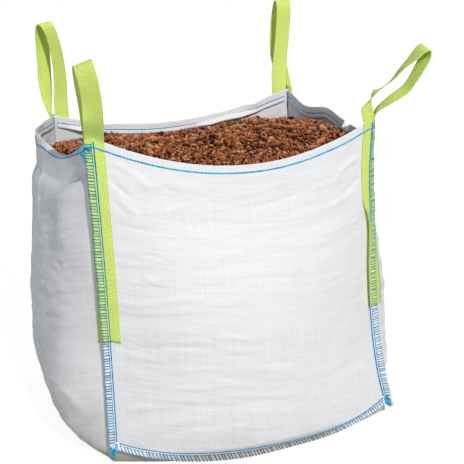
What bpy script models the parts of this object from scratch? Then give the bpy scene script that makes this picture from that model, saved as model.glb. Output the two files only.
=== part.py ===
"""A builder's bulk bag of raised bed soil.

The bag is sewn from three pieces of woven fabric: one long sheet that makes the left side, the base and the
right side, and two end panels. Their edges meet in seams that stand out as flat fins, with a lifting loop of
webbing sewn down each corner. The top edge is folded in and hemmed, and soil fills the bag to just under it.

Metres, +Z up. The origin is on the ground under the middle of the bag, and the front end panel faces -Y.
"""

import math
from collections import namedtuple

import bmesh
import bpy
from mathutils import Vector

OBJECT_NAME = "bulk_bag_of_soil"

# Fabric and webbing, and the gap between two layers
FABRIC = 0.0012
WEBBING = 0.0018
WEBBING_WIDTH = 0.053
CLEARANCE = 0.0005
STRAP_CLEARANCE = 0.0008

# Seam fins: how far they stand out, how steeply the base fin hangs, and how its ears stretch at the corners
FIN = 0.024
BASE_FIN = 0.023
BASE_FIN_DROP = 0.65
EAR_OUT = 0.75
EAR_DOWN = 1.35

# The top edge is folded in: how deep, how wide the fold is, and its rows
HEM_DEPTH = 0.060
HEM_FOLD = 0.0014
HEM_ROWS = 3

# The ground face is the outside of the base sheet, one skin below the surface that the sheets are drawn on
SKIN = CLEARANCE / 2 + FABRIC

# Corners of the filled bag: where the corner seam starts at the base and ends at the rim, and which way its
# fin points in plan, in degrees from +X, at the base and at the rim
Corner = namedtuple("Corner", "foot rim fin_foot fin_rim")
CORNERS = {
    "front_left": Corner((-0.412, -0.440, 0.070), (-0.404, -0.419, 0.914), 205, 196),
    "front_right": Corner((0.408, -0.414, 0.056), (0.377, -0.402, 0.892), -22, 42),
    "back_left": Corner((-0.415, 0.425, 0.056), (-0.413, 0.419, 0.881), 135, 93),
    "back_right": Corner((0.415, 0.425, 0.056), (0.430, 0.417, 0.906), 45, 87),
}

# Between its ends each seam bows outward, but the front right one is pulled in towards the middle of the bag
SEAM_BELLY = 0.008
FRONT_RIGHT_TUCK = 0.033
FRONT_RIGHT_PINCH = 0.006

# How far each wall swells out past the straight line between its corner seams, at its foot, at its fullest
# and at the rim, and how far the middle of its rim sags
Wall = namedtuple("Wall", "corners outward foot belly rim sag")
WALLS = {
    "front": Wall(("front_left", "front_right"), (0, -1, 0), 0.105, 0.125, 0.045, 0.092),
    "back": Wall(("back_left", "back_right"), (0, 1, 0), 0.100, 0.125, 0.050, 0.075),
    "left": Wall(("front_left", "back_left"), (-1, 0, 0), 0.162, 0.148, 0.105, 0.050),
    "right": Wall(("front_right", "back_right"), (1, 0, 0), 0.088, 0.116, 0.062, 0.085),
}
FULLEST_AT = 0.36
SIDE_FULLEST_AT = 0.42
BASE_SEAM_SAG = 0.036

# The side rims aren't even: how far each stands above its plain sag, at shares of its length from the front
RIM_LIFTS = {
    "left": ((-1.0, 0.0), (-0.6, -0.014), (-0.1, 0.020), (0.5, 0.020), (1.0, 0.0)),
    "right": ((-1.0, 0.0), (-0.3, 0.004), (0.0, 0.018), (0.35, 0.033), (0.77, -0.012), (1.0, 0.0)),
}
RIM_LIFT_FROM = 0.75

HALF_WIDTH = 0.415
RIM_HEIGHT = 0.901
MIDDLE = Vector((0, 0, 0.45))

# The side and base sheet has no seam at the bottom of its sides, so it rolls over there in a quarter ellipse.
# The base is flat out to this share of its half length, then curls up to the seam
ROLL_START_X = 0.445
ROLL_HEIGHT = 0.175
ROLL_SHARE = 0.18
FLAT_SHARE = 0.93

# Where the rows and columns of the fabric lie: shares of the height, and shares of a wall's half length
ROWS = (0.0, 0.05, 0.11, 0.18, 0.26, 0.355, 0.44, 0.52, 0.62, 0.72, 0.82, 0.91, 0.965, 1.0)
EDGE_COLUMNS = (1.0, 0.984, 0.968, 0.936, 0.87, 0.77, 0.60, 0.37, 0.12)
WALL_LENGTH_PER_SHARE = 0.455

# Straps are sewn from here to the rim, and stand free above it
STRAP_FOOT_ROW = 5
STRAP_STEPS = 3
OVER_SEAM = (-FIN, -FIN / 2, 0.0, 0.0145, 0.029)

# Soil: how far it is drawn in from the fabric, as a share, and which row of the walls it is cut off above
SOIL_INSET = 0.9965
SOIL_INSET_AT_SEAM = 0.986
SOIL_INSET_AT_HEM = 0.988
SOIL_TOP_ROW = 11
SOIL_FLOOR_GAP = 0.0009

MATERIALS = {
    "woven_fabric": ((0.86, 0.86, 0.85, 1.0), 0.62),
    "lime_webbing": ((0.50, 0.68, 0.10, 1.0), 0.70),
    "red_brown_soil": ((0.20, 0.075, 0.035, 1.0), 0.92),
}


def smooth_step(share):
    share = min(max(share, 0.0), 1.0)
    return share * share * (3 - 2 * share)


def half_wave(share):
    """1 at the start and 0 at the end, level at both."""
    return 0.5 + 0.5 * math.cos(math.pi * min(max(share, 0.0), 1.0))


def plan_direction(degrees):
    angle = math.radians(degrees)
    return Vector((math.cos(angle), math.sin(angle), 0.0))


# Corner seams

def seam_point(corner, height):
    """A point on a corner seam, from 0 at the base to 1 at the rim."""
    foot, rim = Vector(CORNERS[corner].foot), Vector(CORNERS[corner].rim)
    point = foot.lerp(rim, height)
    if corner == "front_right":
        pull = math.sin(math.pi * height ** 0.75) * (1 - 0.3 * smooth_step((height - 0.45) / 0.55))
        pinch = math.sin(math.pi * min(max((height - 0.70) / 0.30, 0.0), 1.0))
        point.x -= FRONT_RIGHT_TUCK * pull + FRONT_RIGHT_PINCH * pinch
    else:
        swell = SEAM_BELLY * 4 * height * (1 - height)
        point += Vector((math.copysign(swell, rim.x), math.copysign(swell, rim.y), 0.0))
    return point


def fin_vector(corner, height):
    """From a corner seam to the outer edge of its fin."""
    start, end = CORNERS[corner].fin_foot, CORNERS[corner].fin_rim
    return plan_direction(start + (end - start) * height) * FIN


def ear_vector(corner, wall):
    """From the foot of a corner seam to the tip of the ear, where its fin and the base fin meet."""
    return fin_vector(corner, 0) * EAR_OUT + base_fin_vector(wall) * EAR_DOWN


def base_fin_vector(wall):
    """From the base seam of an end panel to the hanging edge of its fin."""
    forward = math.sqrt(1 - BASE_FIN_DROP ** 2)
    return (Vector(WALLS[wall].outward) * forward - Vector((0, 0, BASE_FIN_DROP))) * BASE_FIN


# Walls and base, as surfaces: "along" runs from -1 to 1 between a wall's two corner seams

def end_point(wall, along, height):
    """A point on the front or back panel."""
    shape = WALLS[wall]
    left, right = shape.corners
    point = seam_point(left, height).lerp(seam_point(right, height), (along + 1) / 2)
    if height < FULLEST_AT:
        swell = shape.foot + (shape.belly - shape.foot) * math.sin(math.pi / 2 * height / FULLEST_AT)
    else:
        swell = shape.rim + (shape.belly - shape.rim) * half_wave((height - FULLEST_AT) / (1 - FULLEST_AT))
    crown = 1 - along * along
    point += Vector(shape.outward) * swell * crown
    point.z -= BASE_SEAM_SAG * (1 - height) ** 3 * (1 - along ** 4) + shape.sag * height * height * crown
    return point


def side_middle(wall, height):
    """The middle of a side: a quarter ellipse up from the ground, then the swollen wall."""
    shape = WALLS[wall]
    rolled = HALF_WIDTH + shape.foot
    if height < ROLL_SHARE:
        turn = math.pi / 2 * height / ROLL_SHARE
        x = ROLL_START_X + (rolled - ROLL_START_X) * math.sin(turn)
        z = SKIN + (ROLL_HEIGHT - SKIN) * (1 - math.cos(turn))
    else:
        if height < SIDE_FULLEST_AT:
            swell = (height - ROLL_SHARE) / (SIDE_FULLEST_AT - ROLL_SHARE)
            x = rolled + (shape.belly - shape.foot) * math.sin(math.pi / 2 * swell)
        else:
            fall = (height - SIDE_FULLEST_AT) / (1 - SIDE_FULLEST_AT)
            x = HALF_WIDTH + shape.rim + (shape.belly - shape.rim) * half_wave(fall)
        z = ROLL_HEIGHT + (RIM_HEIGHT - shape.sag - ROLL_HEIGHT) * (height - ROLL_SHARE) / (1 - ROLL_SHARE)
    return x * shape.outward[0], z


def edge_lift(along):
    """How far the base has curled up to its seam: none on the ground, all at the seam."""
    past = (abs(along) - FLAT_SHARE) / (1 - FLAT_SHARE)
    return 1 - math.sqrt(1 - past * past) if past > 0 else 0.0


def rim_lift(wall, along):
    """How far a side's rim stands above its plain sag."""
    lifts = RIM_LIFTS[wall]
    for (start, low), (end, high) in zip(lifts, lifts[1:]):
        if along <= end:
            return low + (high - low) * smooth_step((along - start) / (end - start))
    return 0.0


def side_point(wall, along, height):
    """A point on the left or right side of the side and base sheet."""
    front, back = WALLS[wall].corners
    point = seam_point(front, height).lerp(seam_point(back, height), (along + 1) / 2)
    centre = (seam_point(front, height) + seam_point(back, height)) / 2
    x, z = side_middle(wall, height)
    fullness = 1 - abs(along) ** (2 + 4 * (1 - height) ** 2)
    near_ground = 1 - smooth_step(height / 0.15)
    lift = (1 - edge_lift(along)) * near_ground + fullness * (1 - near_ground)
    point.x += (x - centre.x) * fullness
    point.z += (z - centre.z) * lift if near_ground < 1 else (SKIN - point.z) * lift
    point.z += rim_lift(wall, along) * smooth_step((height - RIM_LIFT_FROM) / (1 - RIM_LIFT_FROM))
    return point


def base_point(across, along):
    """A point on the base: across runs from the left roll to the right one, along from front to back."""
    u, v = (across + 1) / 2, (along + 1) / 2
    front, back = end_point("front", across, 0), end_point("back", across, 0)
    left, right = side_point("left", along, 0), side_point("right", along, 0)
    front_left, front_right = seam_point("front_left", 0), seam_point("front_right", 0)
    back_left, back_right = seam_point("back_left", 0), seam_point("back_right", 0)
    ends = front.lerp(back, v)
    point = ends + left.lerp(right, u) - front_left.lerp(back_left, v).lerp(front_right.lerp(back_right, v), u)
    point.z = SKIN + (ends.z - SKIN) * edge_lift(along)
    return point


def wall_point(wall, along, height):
    return (end_point if wall in ("front", "back") else side_point)(wall, along, height)


def level_to_height(wall, along, z):
    """The share of a wall's height at which it reaches z."""
    low, high = 0.5, 1.0
    for _ in range(20):
        middle = (low + high) / 2
        if wall_point(wall, along, middle).z < z:
            low = middle
        else:
            high = middle
    return (low + high) / 2


# Meshes

def columns():
    return [-share for share in EDGE_COLUMNS] + [share for share in reversed(EDGE_COLUMNS)]


def add_grid(mesh, rows):
    """Joins rows of points into triangles, where None is a hole. Each quad folds so that it bulges outward."""
    made = [[mesh.verts.new(point) if point is not None else None for point in row] for row in rows]
    for lower, upper in zip(made, made[1:]):
        for index in range(len(lower) - 1):
            ring = (lower[index], lower[index + 1], upper[index + 1], upper[index])
            if None in ring:
                continue
            a, b, c, d = (vertex.co for vertex in ring)
            outward = (c - a).cross(d - b)
            if outward.dot(a - MIDDLE) < 0:
                outward.negate()
            if outward.dot(a + c - b - d) > 0:
                folds = ((0, 1, 2), (0, 2, 3))
            else:
                folds = ((0, 1, 3), (1, 2, 3))
            for fold in folds:
                mesh.faces.new([ring[corner] for corner in fold])


def add_object(name, mesh, material, collection):
    data = bpy.data.meshes.new(name)
    mesh.to_mesh(data)
    mesh.free()
    data.materials.append(material)
    made = bpy.data.objects.new(name, data)
    collection.objects.link(made)
    return made


def add_sheet(name, rows, thickness, offset, material, collection, flip=False):
    """A cloth piece: an open surface, thickened."""
    mesh = bmesh.new()
    add_grid(mesh, rows)
    bmesh.ops.remove_doubles(mesh, verts=mesh.verts, dist=0.0001)
    if flip:
        bmesh.ops.reverse_faces(mesh, faces=mesh.faces)
    made = add_object(name, mesh, material, collection)
    skin = made.modifiers.new("thickness", "SOLIDIFY")
    skin.thickness = thickness
    skin.offset = offset
    skin.use_even_offset = True
    return made


def hem_row(wall, outward_sign, drop):
    """A row of the folded-in hem, drop below the rim. It stops short of the corner seams."""
    row = []
    for along in columns():
        if abs(along) == 1:
            row.append(None)
            continue
        top = wall_point(wall, along, 1.0)
        below = wall_point(wall, along, 1.0 - drop / (top.z - SKIN))
        tangent = wall_point(wall, along + 1e-3, 1.0) - wall_point(wall, along - 1e-3, 1.0)
        inward = Vector((-tangent.y, tangent.x, 0.0)).normalized() * outward_sign
        row.append(below + inward * HEM_FOLD)
    return [None] + row + [None]


def end_panel_rows(wall):
    left, right = WALLS[wall].corners
    inward_sign = 1 if wall == "front" else -1

    def row(height):
        points = [end_point(wall, along, height) for along in columns()]
        return [points[0] + fin_vector(left, height), *points, points[-1] + fin_vector(right, height)]

    foot = [end_point(wall, along, 0) for along in columns()]
    base_fin = [point + base_fin_vector(wall) for point in foot]
    ears = foot[0] + ear_vector(left, wall), foot[-1] + ear_vector(right, wall)
    rows = [[ears[0], *base_fin, ears[1]]] + [row(height) for height in ROWS]
    rows += [hem_row(wall, inward_sign, HEM_DEPTH * step / HEM_ROWS) for step in range(HEM_ROWS + 1)]
    return rows


def side_base_rows():
    """From the left rim down, across the base, and up to the right rim."""

    def row(points, front_fin, back_fin):
        return [points[0] + front_fin, *points, points[-1] + back_fin]

    def side_row(wall, height):
        front, back = WALLS[wall].corners
        points = [side_point(wall, along, height) for along in columns()]
        return row(points, fin_vector(front, height), fin_vector(back, height))

    def ear_row(wall):
        """The fins of the two seams meet in a square ear, past the foot of each corner seam."""
        front, back = WALLS[wall].corners
        points = [side_point(wall, along, 0) for along in columns()]
        return row(points, ear_vector(front, "front"), ear_vector(back, "back"))

    def base_row(across):
        points = [base_point(across, along) for along in columns()]
        return row(points, base_fin_vector("front"), base_fin_vector("back"))

    def hem(wall, sign):
        return [hem_row(wall, sign, HEM_DEPTH * step / HEM_ROWS) for step in range(HEM_ROWS + 1)]

    left = [side_row("left", height) for height in reversed(ROWS)] + [ear_row("left")]
    base = [base_row(across) for across in columns()]
    right = [ear_row("right")] + [side_row("right", height) for height in ROWS]
    return list(reversed(hem("left", -1))) + left + base + right + hem("right", 1)


# Lifting loops

Leg = namedtuple("Leg", "wall corner reach")
Stand = namedtuple("Stand", "x y z turn tilt fold")

# Each leg's reach is where its five columns lie, from the strap's left edge to its right: under 0 on the fin,
# over 0 along the wall. A strap caught in the seam is half on the fin; one laid beside it starts clear of it.
# Low on the front right corner the free half of the strap isn't held down, and stands out from the wall.
LAID_FROM = 0.005
LAID_CLEAR_OF_FIN = 0.020
CAUGHT = OVER_SEAM
CAUGHT_REVERSED = tuple(reversed(OVER_SEAM))
STANDS_OUT_BELOW = 0.76
STANDS_OUT_FULLY = 0.62
STANDING_FROM_SEAM = 0.006
STANDING_REACH = 0.85


def laid(start):
    return tuple(start + WEBBING_WIDTH * share / 4 for share in range(5))


LEGS = {
    "front_left": (Leg("front", "front_left", CAUGHT), Leg("left", "front_left", CAUGHT)),
    "front_right": (
        Leg("front", "front_right", CAUGHT_REVERSED),
        Leg("right", "front_right", laid(LAID_CLEAR_OF_FIN)),
    ),
    "back_left": (Leg("back", "back_left", laid(LAID_FROM)), Leg("left", "back_left", CAUGHT_REVERSED)),
    "back_right": (
        Leg("back", "back_right", tuple(reversed(laid(LAID_FROM)))),
        Leg("right", "back_right", CAUGHT),
    ),
}

# The free part of each loop, from above its end panel over the top to its side leg: the middle of the strap,
# the way its right edge points in plan and how far that edge rises, and how far its halves fold inward
STANDS = {
    "front_left": (
        Stand(-0.4040, -0.4560, 0.962, -8, -2, -10),
        Stand(-0.4060, -0.4720, 1.010, -24, 6, 0),
        Stand(-0.4115, -0.4820, 1.058, -27, 13, 0),
        Stand(-0.4175, -0.4790, 1.093, -26, 17, 0),
        Stand(-0.4200, -0.4620, 1.109, -26, 18, 0),
        Stand(-0.4190, -0.4420, 1.097, -26, 17, 0),
        Stand(-0.4150, -0.4290, 1.061, -26, 12, 0),
        Stand(-0.4090, -0.4260, 1.008, -20, 4, 4),
        Stand(-0.4050, -0.4260, 0.960, 20, 0, 26),
    ),
    "front_right": (
        Stand(0.3715, -0.4050, 0.915, 28, 0, 14),
        Stand(0.3715, -0.4050, 0.934, 34, 10, 20),
        Stand(0.3880, -0.3960, 0.962, 62, 16, 6),
        Stand(0.4140, -0.3880, 0.979, 66, 8, 0),
        Stand(0.4470, -0.3900, 1.001, 70, 9, 0),
        Stand(0.4770, -0.3950, 1.034, 80, 10, 0),
        Stand(0.5060, -0.3970, 1.056, 88, 15, 0),
        Stand(0.5330, -0.3980, 1.077, 90, 19, 0),
        Stand(0.5480, -0.3980, 1.080, 90, 19, 0),
        Stand(0.5485, -0.3980, 1.060, 90, 17, 0),
        Stand(0.5300, -0.3970, 1.028, 90, 14, 0),
        Stand(0.5110, -0.3950, 0.998, 86, 14, 0),
        Stand(0.4890, -0.3920, 0.970, 82, 16, 0),
        Stand(0.4540, -0.3880, 0.948, 78, 16, 0),
        Stand(0.4260, -0.3800, 0.929, 74, 10, 0),
        Stand(0.4080, -0.3700, 0.912, 70, 3, 0),
    ),
    "back_left": (
        Stand(-0.3815, 0.4420, 0.937, 24, 0, 0),
        Stand(-0.3770, 0.4480, 0.992, 30, 0, 0),
        Stand(-0.3770, 0.4500, 1.044, 34, 0, 0),
        Stand(-0.3820, 0.4480, 1.099, 36, 1, 0),
        Stand(-0.3930, 0.4420, 1.150, 38, 3, 0),
        Stand(-0.4040, 0.4420, 1.178, 36, 6, 0),
        Stand(-0.4140, 0.4530, 1.187, 34, 8, 0),
        Stand(-0.4210, 0.4670, 1.170, 32, 6, 0),
        Stand(-0.4220, 0.4770, 1.122, 28, 2, 0),
        Stand(-0.4230, 0.4790, 1.062, 26, 0, 0),
        Stand(-0.4260, 0.4720, 0.992, 28, 0, 0),
        Stand(-0.4235, 0.4540, 0.934, 48, 0, 6),
    ),
    "back_right": (
        Stand(0.4080, 0.4420, 0.957, -8, 0, 0),
        Stand(0.4170, 0.4500, 1.012, 0, 0, 0),
        Stand(0.4270, 0.4540, 1.072, 3, 0, 0),
        Stand(0.4335, 0.4550, 1.127, 3, 0, 0),
        Stand(0.4370, 0.4520, 1.177, 2, 0, 0),
        Stand(0.4380, 0.4570, 1.206, 2, 0, 0),
        Stand(0.4380, 0.4710, 1.215, 2, 0, 0),
        Stand(0.4370, 0.4860, 1.202, 2, 0, 0),
        Stand(0.4290, 0.4920, 1.152, 1, 0, 0),
        Stand(0.4215, 0.4900, 1.082, -2, 0, 0),
        Stand(0.4205, 0.4780, 1.012, -14, 0, 0),
        Stand(0.4270, 0.4590, 0.954, -46, 0, 6),
    ),
}


def stand_off(points, distance, outward):
    """Moves a run of points sideways in plan, with mitred corners, to the side that outward points to."""
    normals = []
    for here, there in zip(points, points[1:]):
        run = there - here
        normals.append(Vector((run.y, -run.x, 0.0)).normalized())
    longest = max(range(len(normals)), key=lambda index: abs(normals[index].dot(outward)))
    side = math.copysign(distance, normals[longest].dot(outward))
    moved = []
    for index, point in enumerate(points):
        before, after = normals[max(index - 1, 0)], normals[min(index, len(normals) - 1)]
        moved.append(point + (before + after) * side / (1 + before.dot(after)))
    return moved


def standing_point(leg, reach, height):
    """Where a strap's free half lies when it is bent up from the wall, beside the seam."""
    near = wall_point(leg.wall, 1 - STANDING_FROM_SEAM / WALL_LENGTH_PER_SHARE, height)
    return near + Vector(WALLS[leg.wall].outward) * (reach - STANDING_FROM_SEAM / 2) * STANDING_REACH


def sewn_section(leg, height):
    """The five column points of a sewn leg at one height, in the middle of the webbing."""
    wall = WALLS[leg.wall]
    at_start = wall.corners[0] == leg.corner
    section = []
    for reach in leg.reach:
        if reach <= 0:
            point = seam_point(leg.corner, height) + fin_vector(leg.corner, height) * (-reach / FIN)
        else:
            share = 1 - reach / WALL_LENGTH_PER_SHARE
            point = wall_point(leg.wall, -share if at_start else share, height)
            if (leg.corner, leg.wall) == ("front_right", "front"):
                loose = 1 - smooth_step((height - STANDS_OUT_FULLY) / (STANDS_OUT_BELOW - STANDS_OUT_FULLY))
                point = point.lerp(standing_point(leg, reach, height), loose)
        section.append(point)
    return stand_off(section, SKIN + STRAP_CLEARANCE + WEBBING / 2, Vector(wall.outward))


def free_section(stand):
    """The five column points of the free strap at one stand."""
    half = WEBBING_WIDTH / 2
    rise = Vector((0, 0, math.sin(math.radians(stand.tilt))))
    level = math.cos(math.radians(stand.tilt))
    right = (plan_direction(stand.turn + stand.fold) * level + rise) * half
    left = (plan_direction(stand.turn + 180 - stand.fold) * level - rise) * half
    middle = Vector((stand.x, stand.y, stand.z))
    return [middle + left, middle + left / 2, middle, middle + right / 2, middle + right]


def curve_between(before, start, end, after, knots, share):
    """A smooth curve from start to end that keeps the run of its neighbours, by Hermite's formula."""
    span = knots[2] - knots[1]
    leave = (end - before) / (knots[2] - knots[0]) * span
    arrive = (after - start) / (knots[3] - knots[1]) * span
    s2, s3 = share * share, share ** 3
    return (
        start * (2 * s3 - 3 * s2 + 1)
        + leave * (s3 - 2 * s2 + share)
        + end * (3 * s2 - 2 * s3)
        + arrive * (s3 - s2)
    )


def strap_rows(corner):
    end_leg, side_leg = LEGS[corner]
    sewn = ROWS[STRAP_FOOT_ROW:]
    up = [sewn_section(end_leg, height) for height in sewn]
    down = [sewn_section(side_leg, height) for height in reversed(sewn)]
    guides = up[-2:] + [free_section(stand) for stand in STANDS[corner]] + down[:2]
    knots = [0.0]
    for here, there in zip(guides, guides[1:]):
        knots.append(knots[-1] + (there[2] - here[2]).length)
    rows = up
    for index in range(1, len(guides) - 2):
        near = guides[index - 1:index + 3]
        for step in range(1, STRAP_STEPS + 1):
            share = step / STRAP_STEPS
            rows.append([
                curve_between(*(section[column] for section in near), knots[index - 1:index + 3], share)
                for column in range(5)
            ])
    return rows + down[1:]


# Soil

def soil_level(x, y):
    """The height of the soil's rough, slightly mounded top."""
    mound = 0.020 * math.exp(-((x - 0.20) ** 2 + (y - 0.08) ** 2) / 0.055)
    slope = 0.776 + 0.024 * smooth_step((y + 0.42) / 0.5)
    clods = 0.005 * math.sin(23 * x + 1.3) * math.sin(19 * y + 0.4) + 0.003 * math.sin(47 * x - 31 * y)
    return slope + mound + clods


def soil_wall_heights(wall, along):
    """The wall's own rows up to the hem, then the edge of the soil's top."""
    top = wall_point(wall, along, 0.9)
    edge = level_to_height(wall, along, soil_level(top.x, top.y))
    return list(ROWS[:SOIL_TOP_ROW]) + [edge]


def inside(point, height, at_seam):
    """Draws a point of the bag in, clear of the fabric, of the corner seams, and of the hem near the top."""
    low = SOIL_INSET_AT_SEAM if at_seam else SOIL_INSET
    share = low + (SOIL_INSET_AT_HEM - low) * smooth_step((height - 0.62) / 0.2)
    return Vector((point.x * share, point.y * share, point.z + SOIL_FLOOR_GAP))


def soil_wall_rows(wall):
    rows = [[] for _ in range(SOIL_TOP_ROW + 1)]
    for along in columns():
        for row, height in zip(rows, soil_wall_heights(wall, along)):
            row.append(inside(wall_point(wall, along, height), height, abs(along) == 1))
    return rows


def soil_base_rows():
    def at_seam(across, along):
        return abs(across) == 1 and abs(along) == 1

    return [
        [inside(base_point(across, along), 0, at_seam(across, along)) for along in columns()]
        for across in columns()
    ]


def soil_top_rows(walls):
    """The top, spread between the four upper edges."""
    front, back, left, right = (walls[name][-1] for name in ("front", "back", "left", "right"))
    rows = []
    shares = [(share + 1) / 2 for share in columns()]
    for j, v in enumerate(shares):
        row = []
        for i, u in enumerate(shares):
            corners = front[0].lerp(back[0], v).lerp(front[-1].lerp(back[-1], v), u)
            point = front[i].lerp(back[i], v) + left[j].lerp(right[j], u) - corners
            if 0 < i < len(shares) - 1 and 0 < j < len(shares) - 1:
                point.z = soil_level(point.x, point.y)
            row.append(point)
        rows.append(row)
    return rows


def add_soil(material, collection):
    mesh = bmesh.new()
    walls = {name: soil_wall_rows(name) for name in WALLS}
    for rows in walls.values():
        add_grid(mesh, rows)
    add_grid(mesh, soil_base_rows())
    add_grid(mesh, soil_top_rows(walls))
    bmesh.ops.remove_doubles(mesh, verts=mesh.verts, dist=0.0001)
    bmesh.ops.recalc_face_normals(mesh, faces=mesh.faces)
    return add_object("soil_fill", mesh, material, collection)


def make_material(name):
    colour, roughness = MATERIALS[name]
    material = bpy.data.materials.new(name)
    material.use_nodes = True
    shader = material.node_tree.nodes["Principled BSDF"]
    shader.inputs["Base Color"].default_value = colour
    shader.inputs["Roughness"].default_value = roughness
    shader.inputs["Metallic"].default_value = 0.0
    return material


def main():
    for old in list(bpy.data.objects):
        bpy.data.objects.remove(old)
    collection = bpy.data.collections.new(OBJECT_NAME)
    bpy.context.scene.collection.children.link(collection)
    fabric, webbing, soil = (make_material(name) for name in MATERIALS)

    # The fabric lies wholly outside the surface it is drawn on, half a clearance off it
    sheet = (FABRIC, 1 + CLEARANCE / FABRIC, fabric, collection)
    add_sheet("front_panel", end_panel_rows("front"), *sheet)
    add_sheet("back_panel", end_panel_rows("back"), *sheet, flip=True)
    add_sheet("side_base_panel", side_base_rows(), *sheet)

    for corner in CORNERS:
        add_sheet("loop_" + corner, strap_rows(corner), WEBBING, 0, webbing, collection)

    add_soil(soil, collection)


main()
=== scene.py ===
"""The look of a builder's bulk bag of raised bed soil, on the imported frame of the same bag.

The bag's form is the one that the frame was built from, repeated here with finer cloth: ripples, folds,
a hemmed rim, seams with their fins, overlocked edges and chain stitching, webbing loops, and a crumbly
heap of soil.
"""

import math

import bmesh
import bpy
import numpy as np
from mathutils import Matrix


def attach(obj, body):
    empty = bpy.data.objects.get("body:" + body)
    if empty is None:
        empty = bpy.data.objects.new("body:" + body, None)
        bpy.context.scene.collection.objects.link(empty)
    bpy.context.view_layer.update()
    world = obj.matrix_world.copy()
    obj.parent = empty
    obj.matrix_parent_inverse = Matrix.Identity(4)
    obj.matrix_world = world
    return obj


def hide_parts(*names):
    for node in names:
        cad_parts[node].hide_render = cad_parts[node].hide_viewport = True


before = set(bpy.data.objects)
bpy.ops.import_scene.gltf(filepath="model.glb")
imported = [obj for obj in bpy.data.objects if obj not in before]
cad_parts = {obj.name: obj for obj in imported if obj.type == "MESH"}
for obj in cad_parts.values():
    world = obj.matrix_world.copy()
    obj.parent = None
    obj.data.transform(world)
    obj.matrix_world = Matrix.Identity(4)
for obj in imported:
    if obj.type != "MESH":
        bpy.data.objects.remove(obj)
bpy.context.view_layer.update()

# The bag's form

FABRIC = 0.0012
WEBBING = 0.0018
WEBBING_WIDTH = 0.053
CLEARANCE = 0.0005
STRAP_CLEARANCE = 0.0008
FIN = 0.024
BASE_FIN = 0.023
BASE_FIN_DROP = 0.65
EAR_OUT = 0.75
EAR_DOWN = 1.35
HEM_DEPTH = 0.04
HEM_FOLD = 0.0014
HEM_STITCH = 0.022
SKIN = CLEARANCE / 2 + FABRIC
STRAP_SKIN = SKIN + STRAP_CLEARANCE + WEBBING

# Corner seams: foot, rim, and the fin's way in plan at the foot and at the rim, in degrees from +X
CORNERS = {
    "front_left": ((-0.412, -0.44, 0.07), (-0.404, -0.419, 0.914), 205, 196),
    "front_right": ((0.408, -0.414, 0.056), (0.377, -0.402, 0.892), -22, 42),
    "back_left": ((-0.415, 0.425, 0.056), (-0.413, 0.419, 0.881), 135, 93),
    "back_right": ((0.415, 0.425, 0.056), (0.43, 0.417, 0.906), 45, 87),
}
SEAM_BELLY = 0.008
FRONT_RIGHT_TUCK = 0.033
FRONT_RIGHT_PINCH = 0.006

# Walls: corners, outward, swell at the foot, at the fullest and at the rim, and the rim's sag
WALLS = {
    "front": ("front_left", "front_right", (0, -1, 0), 0.105, 0.125, 0.045, 0.092),
    "back": ("back_left", "back_right", (0, 1, 0), 0.1, 0.125, 0.05, 0.075),
    "left": ("front_left", "back_left", (-1, 0, 0), 0.162, 0.148, 0.105, 0.05),
    "right": ("front_right", "back_right", (1, 0, 0), 0.088, 0.116, 0.062, 0.085),
}
ENDS = ("front", "back")
FULLEST_AT = 0.36
SIDE_FULLEST_AT = 0.42
BASE_SEAM_SAG = 0.036

# The side rims aren't even: how far each stands above its plain sag, at shares of its length from the front
RIM_LIFTS = {
    "left": ((-1.0, 0.0), (-0.6, -0.014), (-0.1, 0.02), (0.5, 0.02), (1.0, 0.0)),
    "right": ((-1.0, 0.0), (-0.3, 0.004), (0.0, 0.018), (0.35, 0.033), (0.77, -0.012), (1.0, 0.0)),
}
RIM_LIFT_FROM = 0.75

# Where the rims lean in: middle and half width along, how far in metres, and how far down as a share
RIM_LEANS = {
    "left": ((-0.42, 0.62, 0.021, 0.03), (0.62, 0.22, 0.005, 0.04)),
    "right": ((-0.06, 0.075, 0.02, 0.1), (-0.5, 0.2, 0.008, 0.045), (0.4, 0.24, -0.005, 0.03)),
    "back": ((0.72, 0.1, 0.007, 0.06), (-0.6, 0.14, 0.005, 0.05)),
}
RIM_LEAN_DROP = 0.9

# Where the hem's free edge gapes: middle and half width along, and how far
HEM_GAPES = {"back": ((0.42, 0.4, 0.026), (-0.75, 0.2, 0.013)), "left": ((0.35, 0.35, 0.008),)}

HALF_WIDTH = 0.415
RIM_HEIGHT = 0.901
MIDDLE = np.array((0, 0, 0.45))
ROLL_START_X = 0.445
ROLL_HEIGHT = 0.175
ROLL_SHARE = 0.18
FLAT_SHARE = 0.93
STRAP_FOOT = 0.355
WALL_LENGTH_PER_SHARE = 0.455
CLOTH_HALF = 0.47
CLOTH_TALL = 0.87
SIDE_CLOTH_TALL = 0.98
BASE_CLOTH_HALF = 0.445
LOWEST_THREAD = 0.0028
THREAD_LIFT = 0.0004
LOOSE_THREAD = 0.0011
UP = np.array((0.0, 0.0, 1.0))

LATTICE = np.random.default_rng(20).random((12, 128, 128))


def ease(share):
    share = np.clip(share, 0.0, 1.0)
    return share * share * (3 - 2 * share)


def half_wave(share):
    return 0.5 + 0.5 * np.cos(np.pi * np.clip(share, 0.0, 1.0))


def mix(a, b, share):
    return a + (b - a) * np.asarray(share)[..., None]


def unit(vectors):
    return vectors / np.maximum(np.linalg.norm(vectors, axis=-1, keepdims=True), 1e-12)


def arrays(*values):
    return np.broadcast_arrays(*(np.asarray(value, float) for value in values))


def bell(offset, width):
    return np.exp(-((offset / width) ** 2))


def level_left(ways):
    """Level ways at right angles to the given ones."""
    return np.stack([-ways[..., 1], ways[..., 0], np.zeros(ways.shape[:-1])], -1)


def lengths_along(points):
    """How far along a line each of its points lies."""
    return np.hstack([0, np.cumsum(np.linalg.norm(np.diff(points, axis=0), axis=1))])


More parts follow.
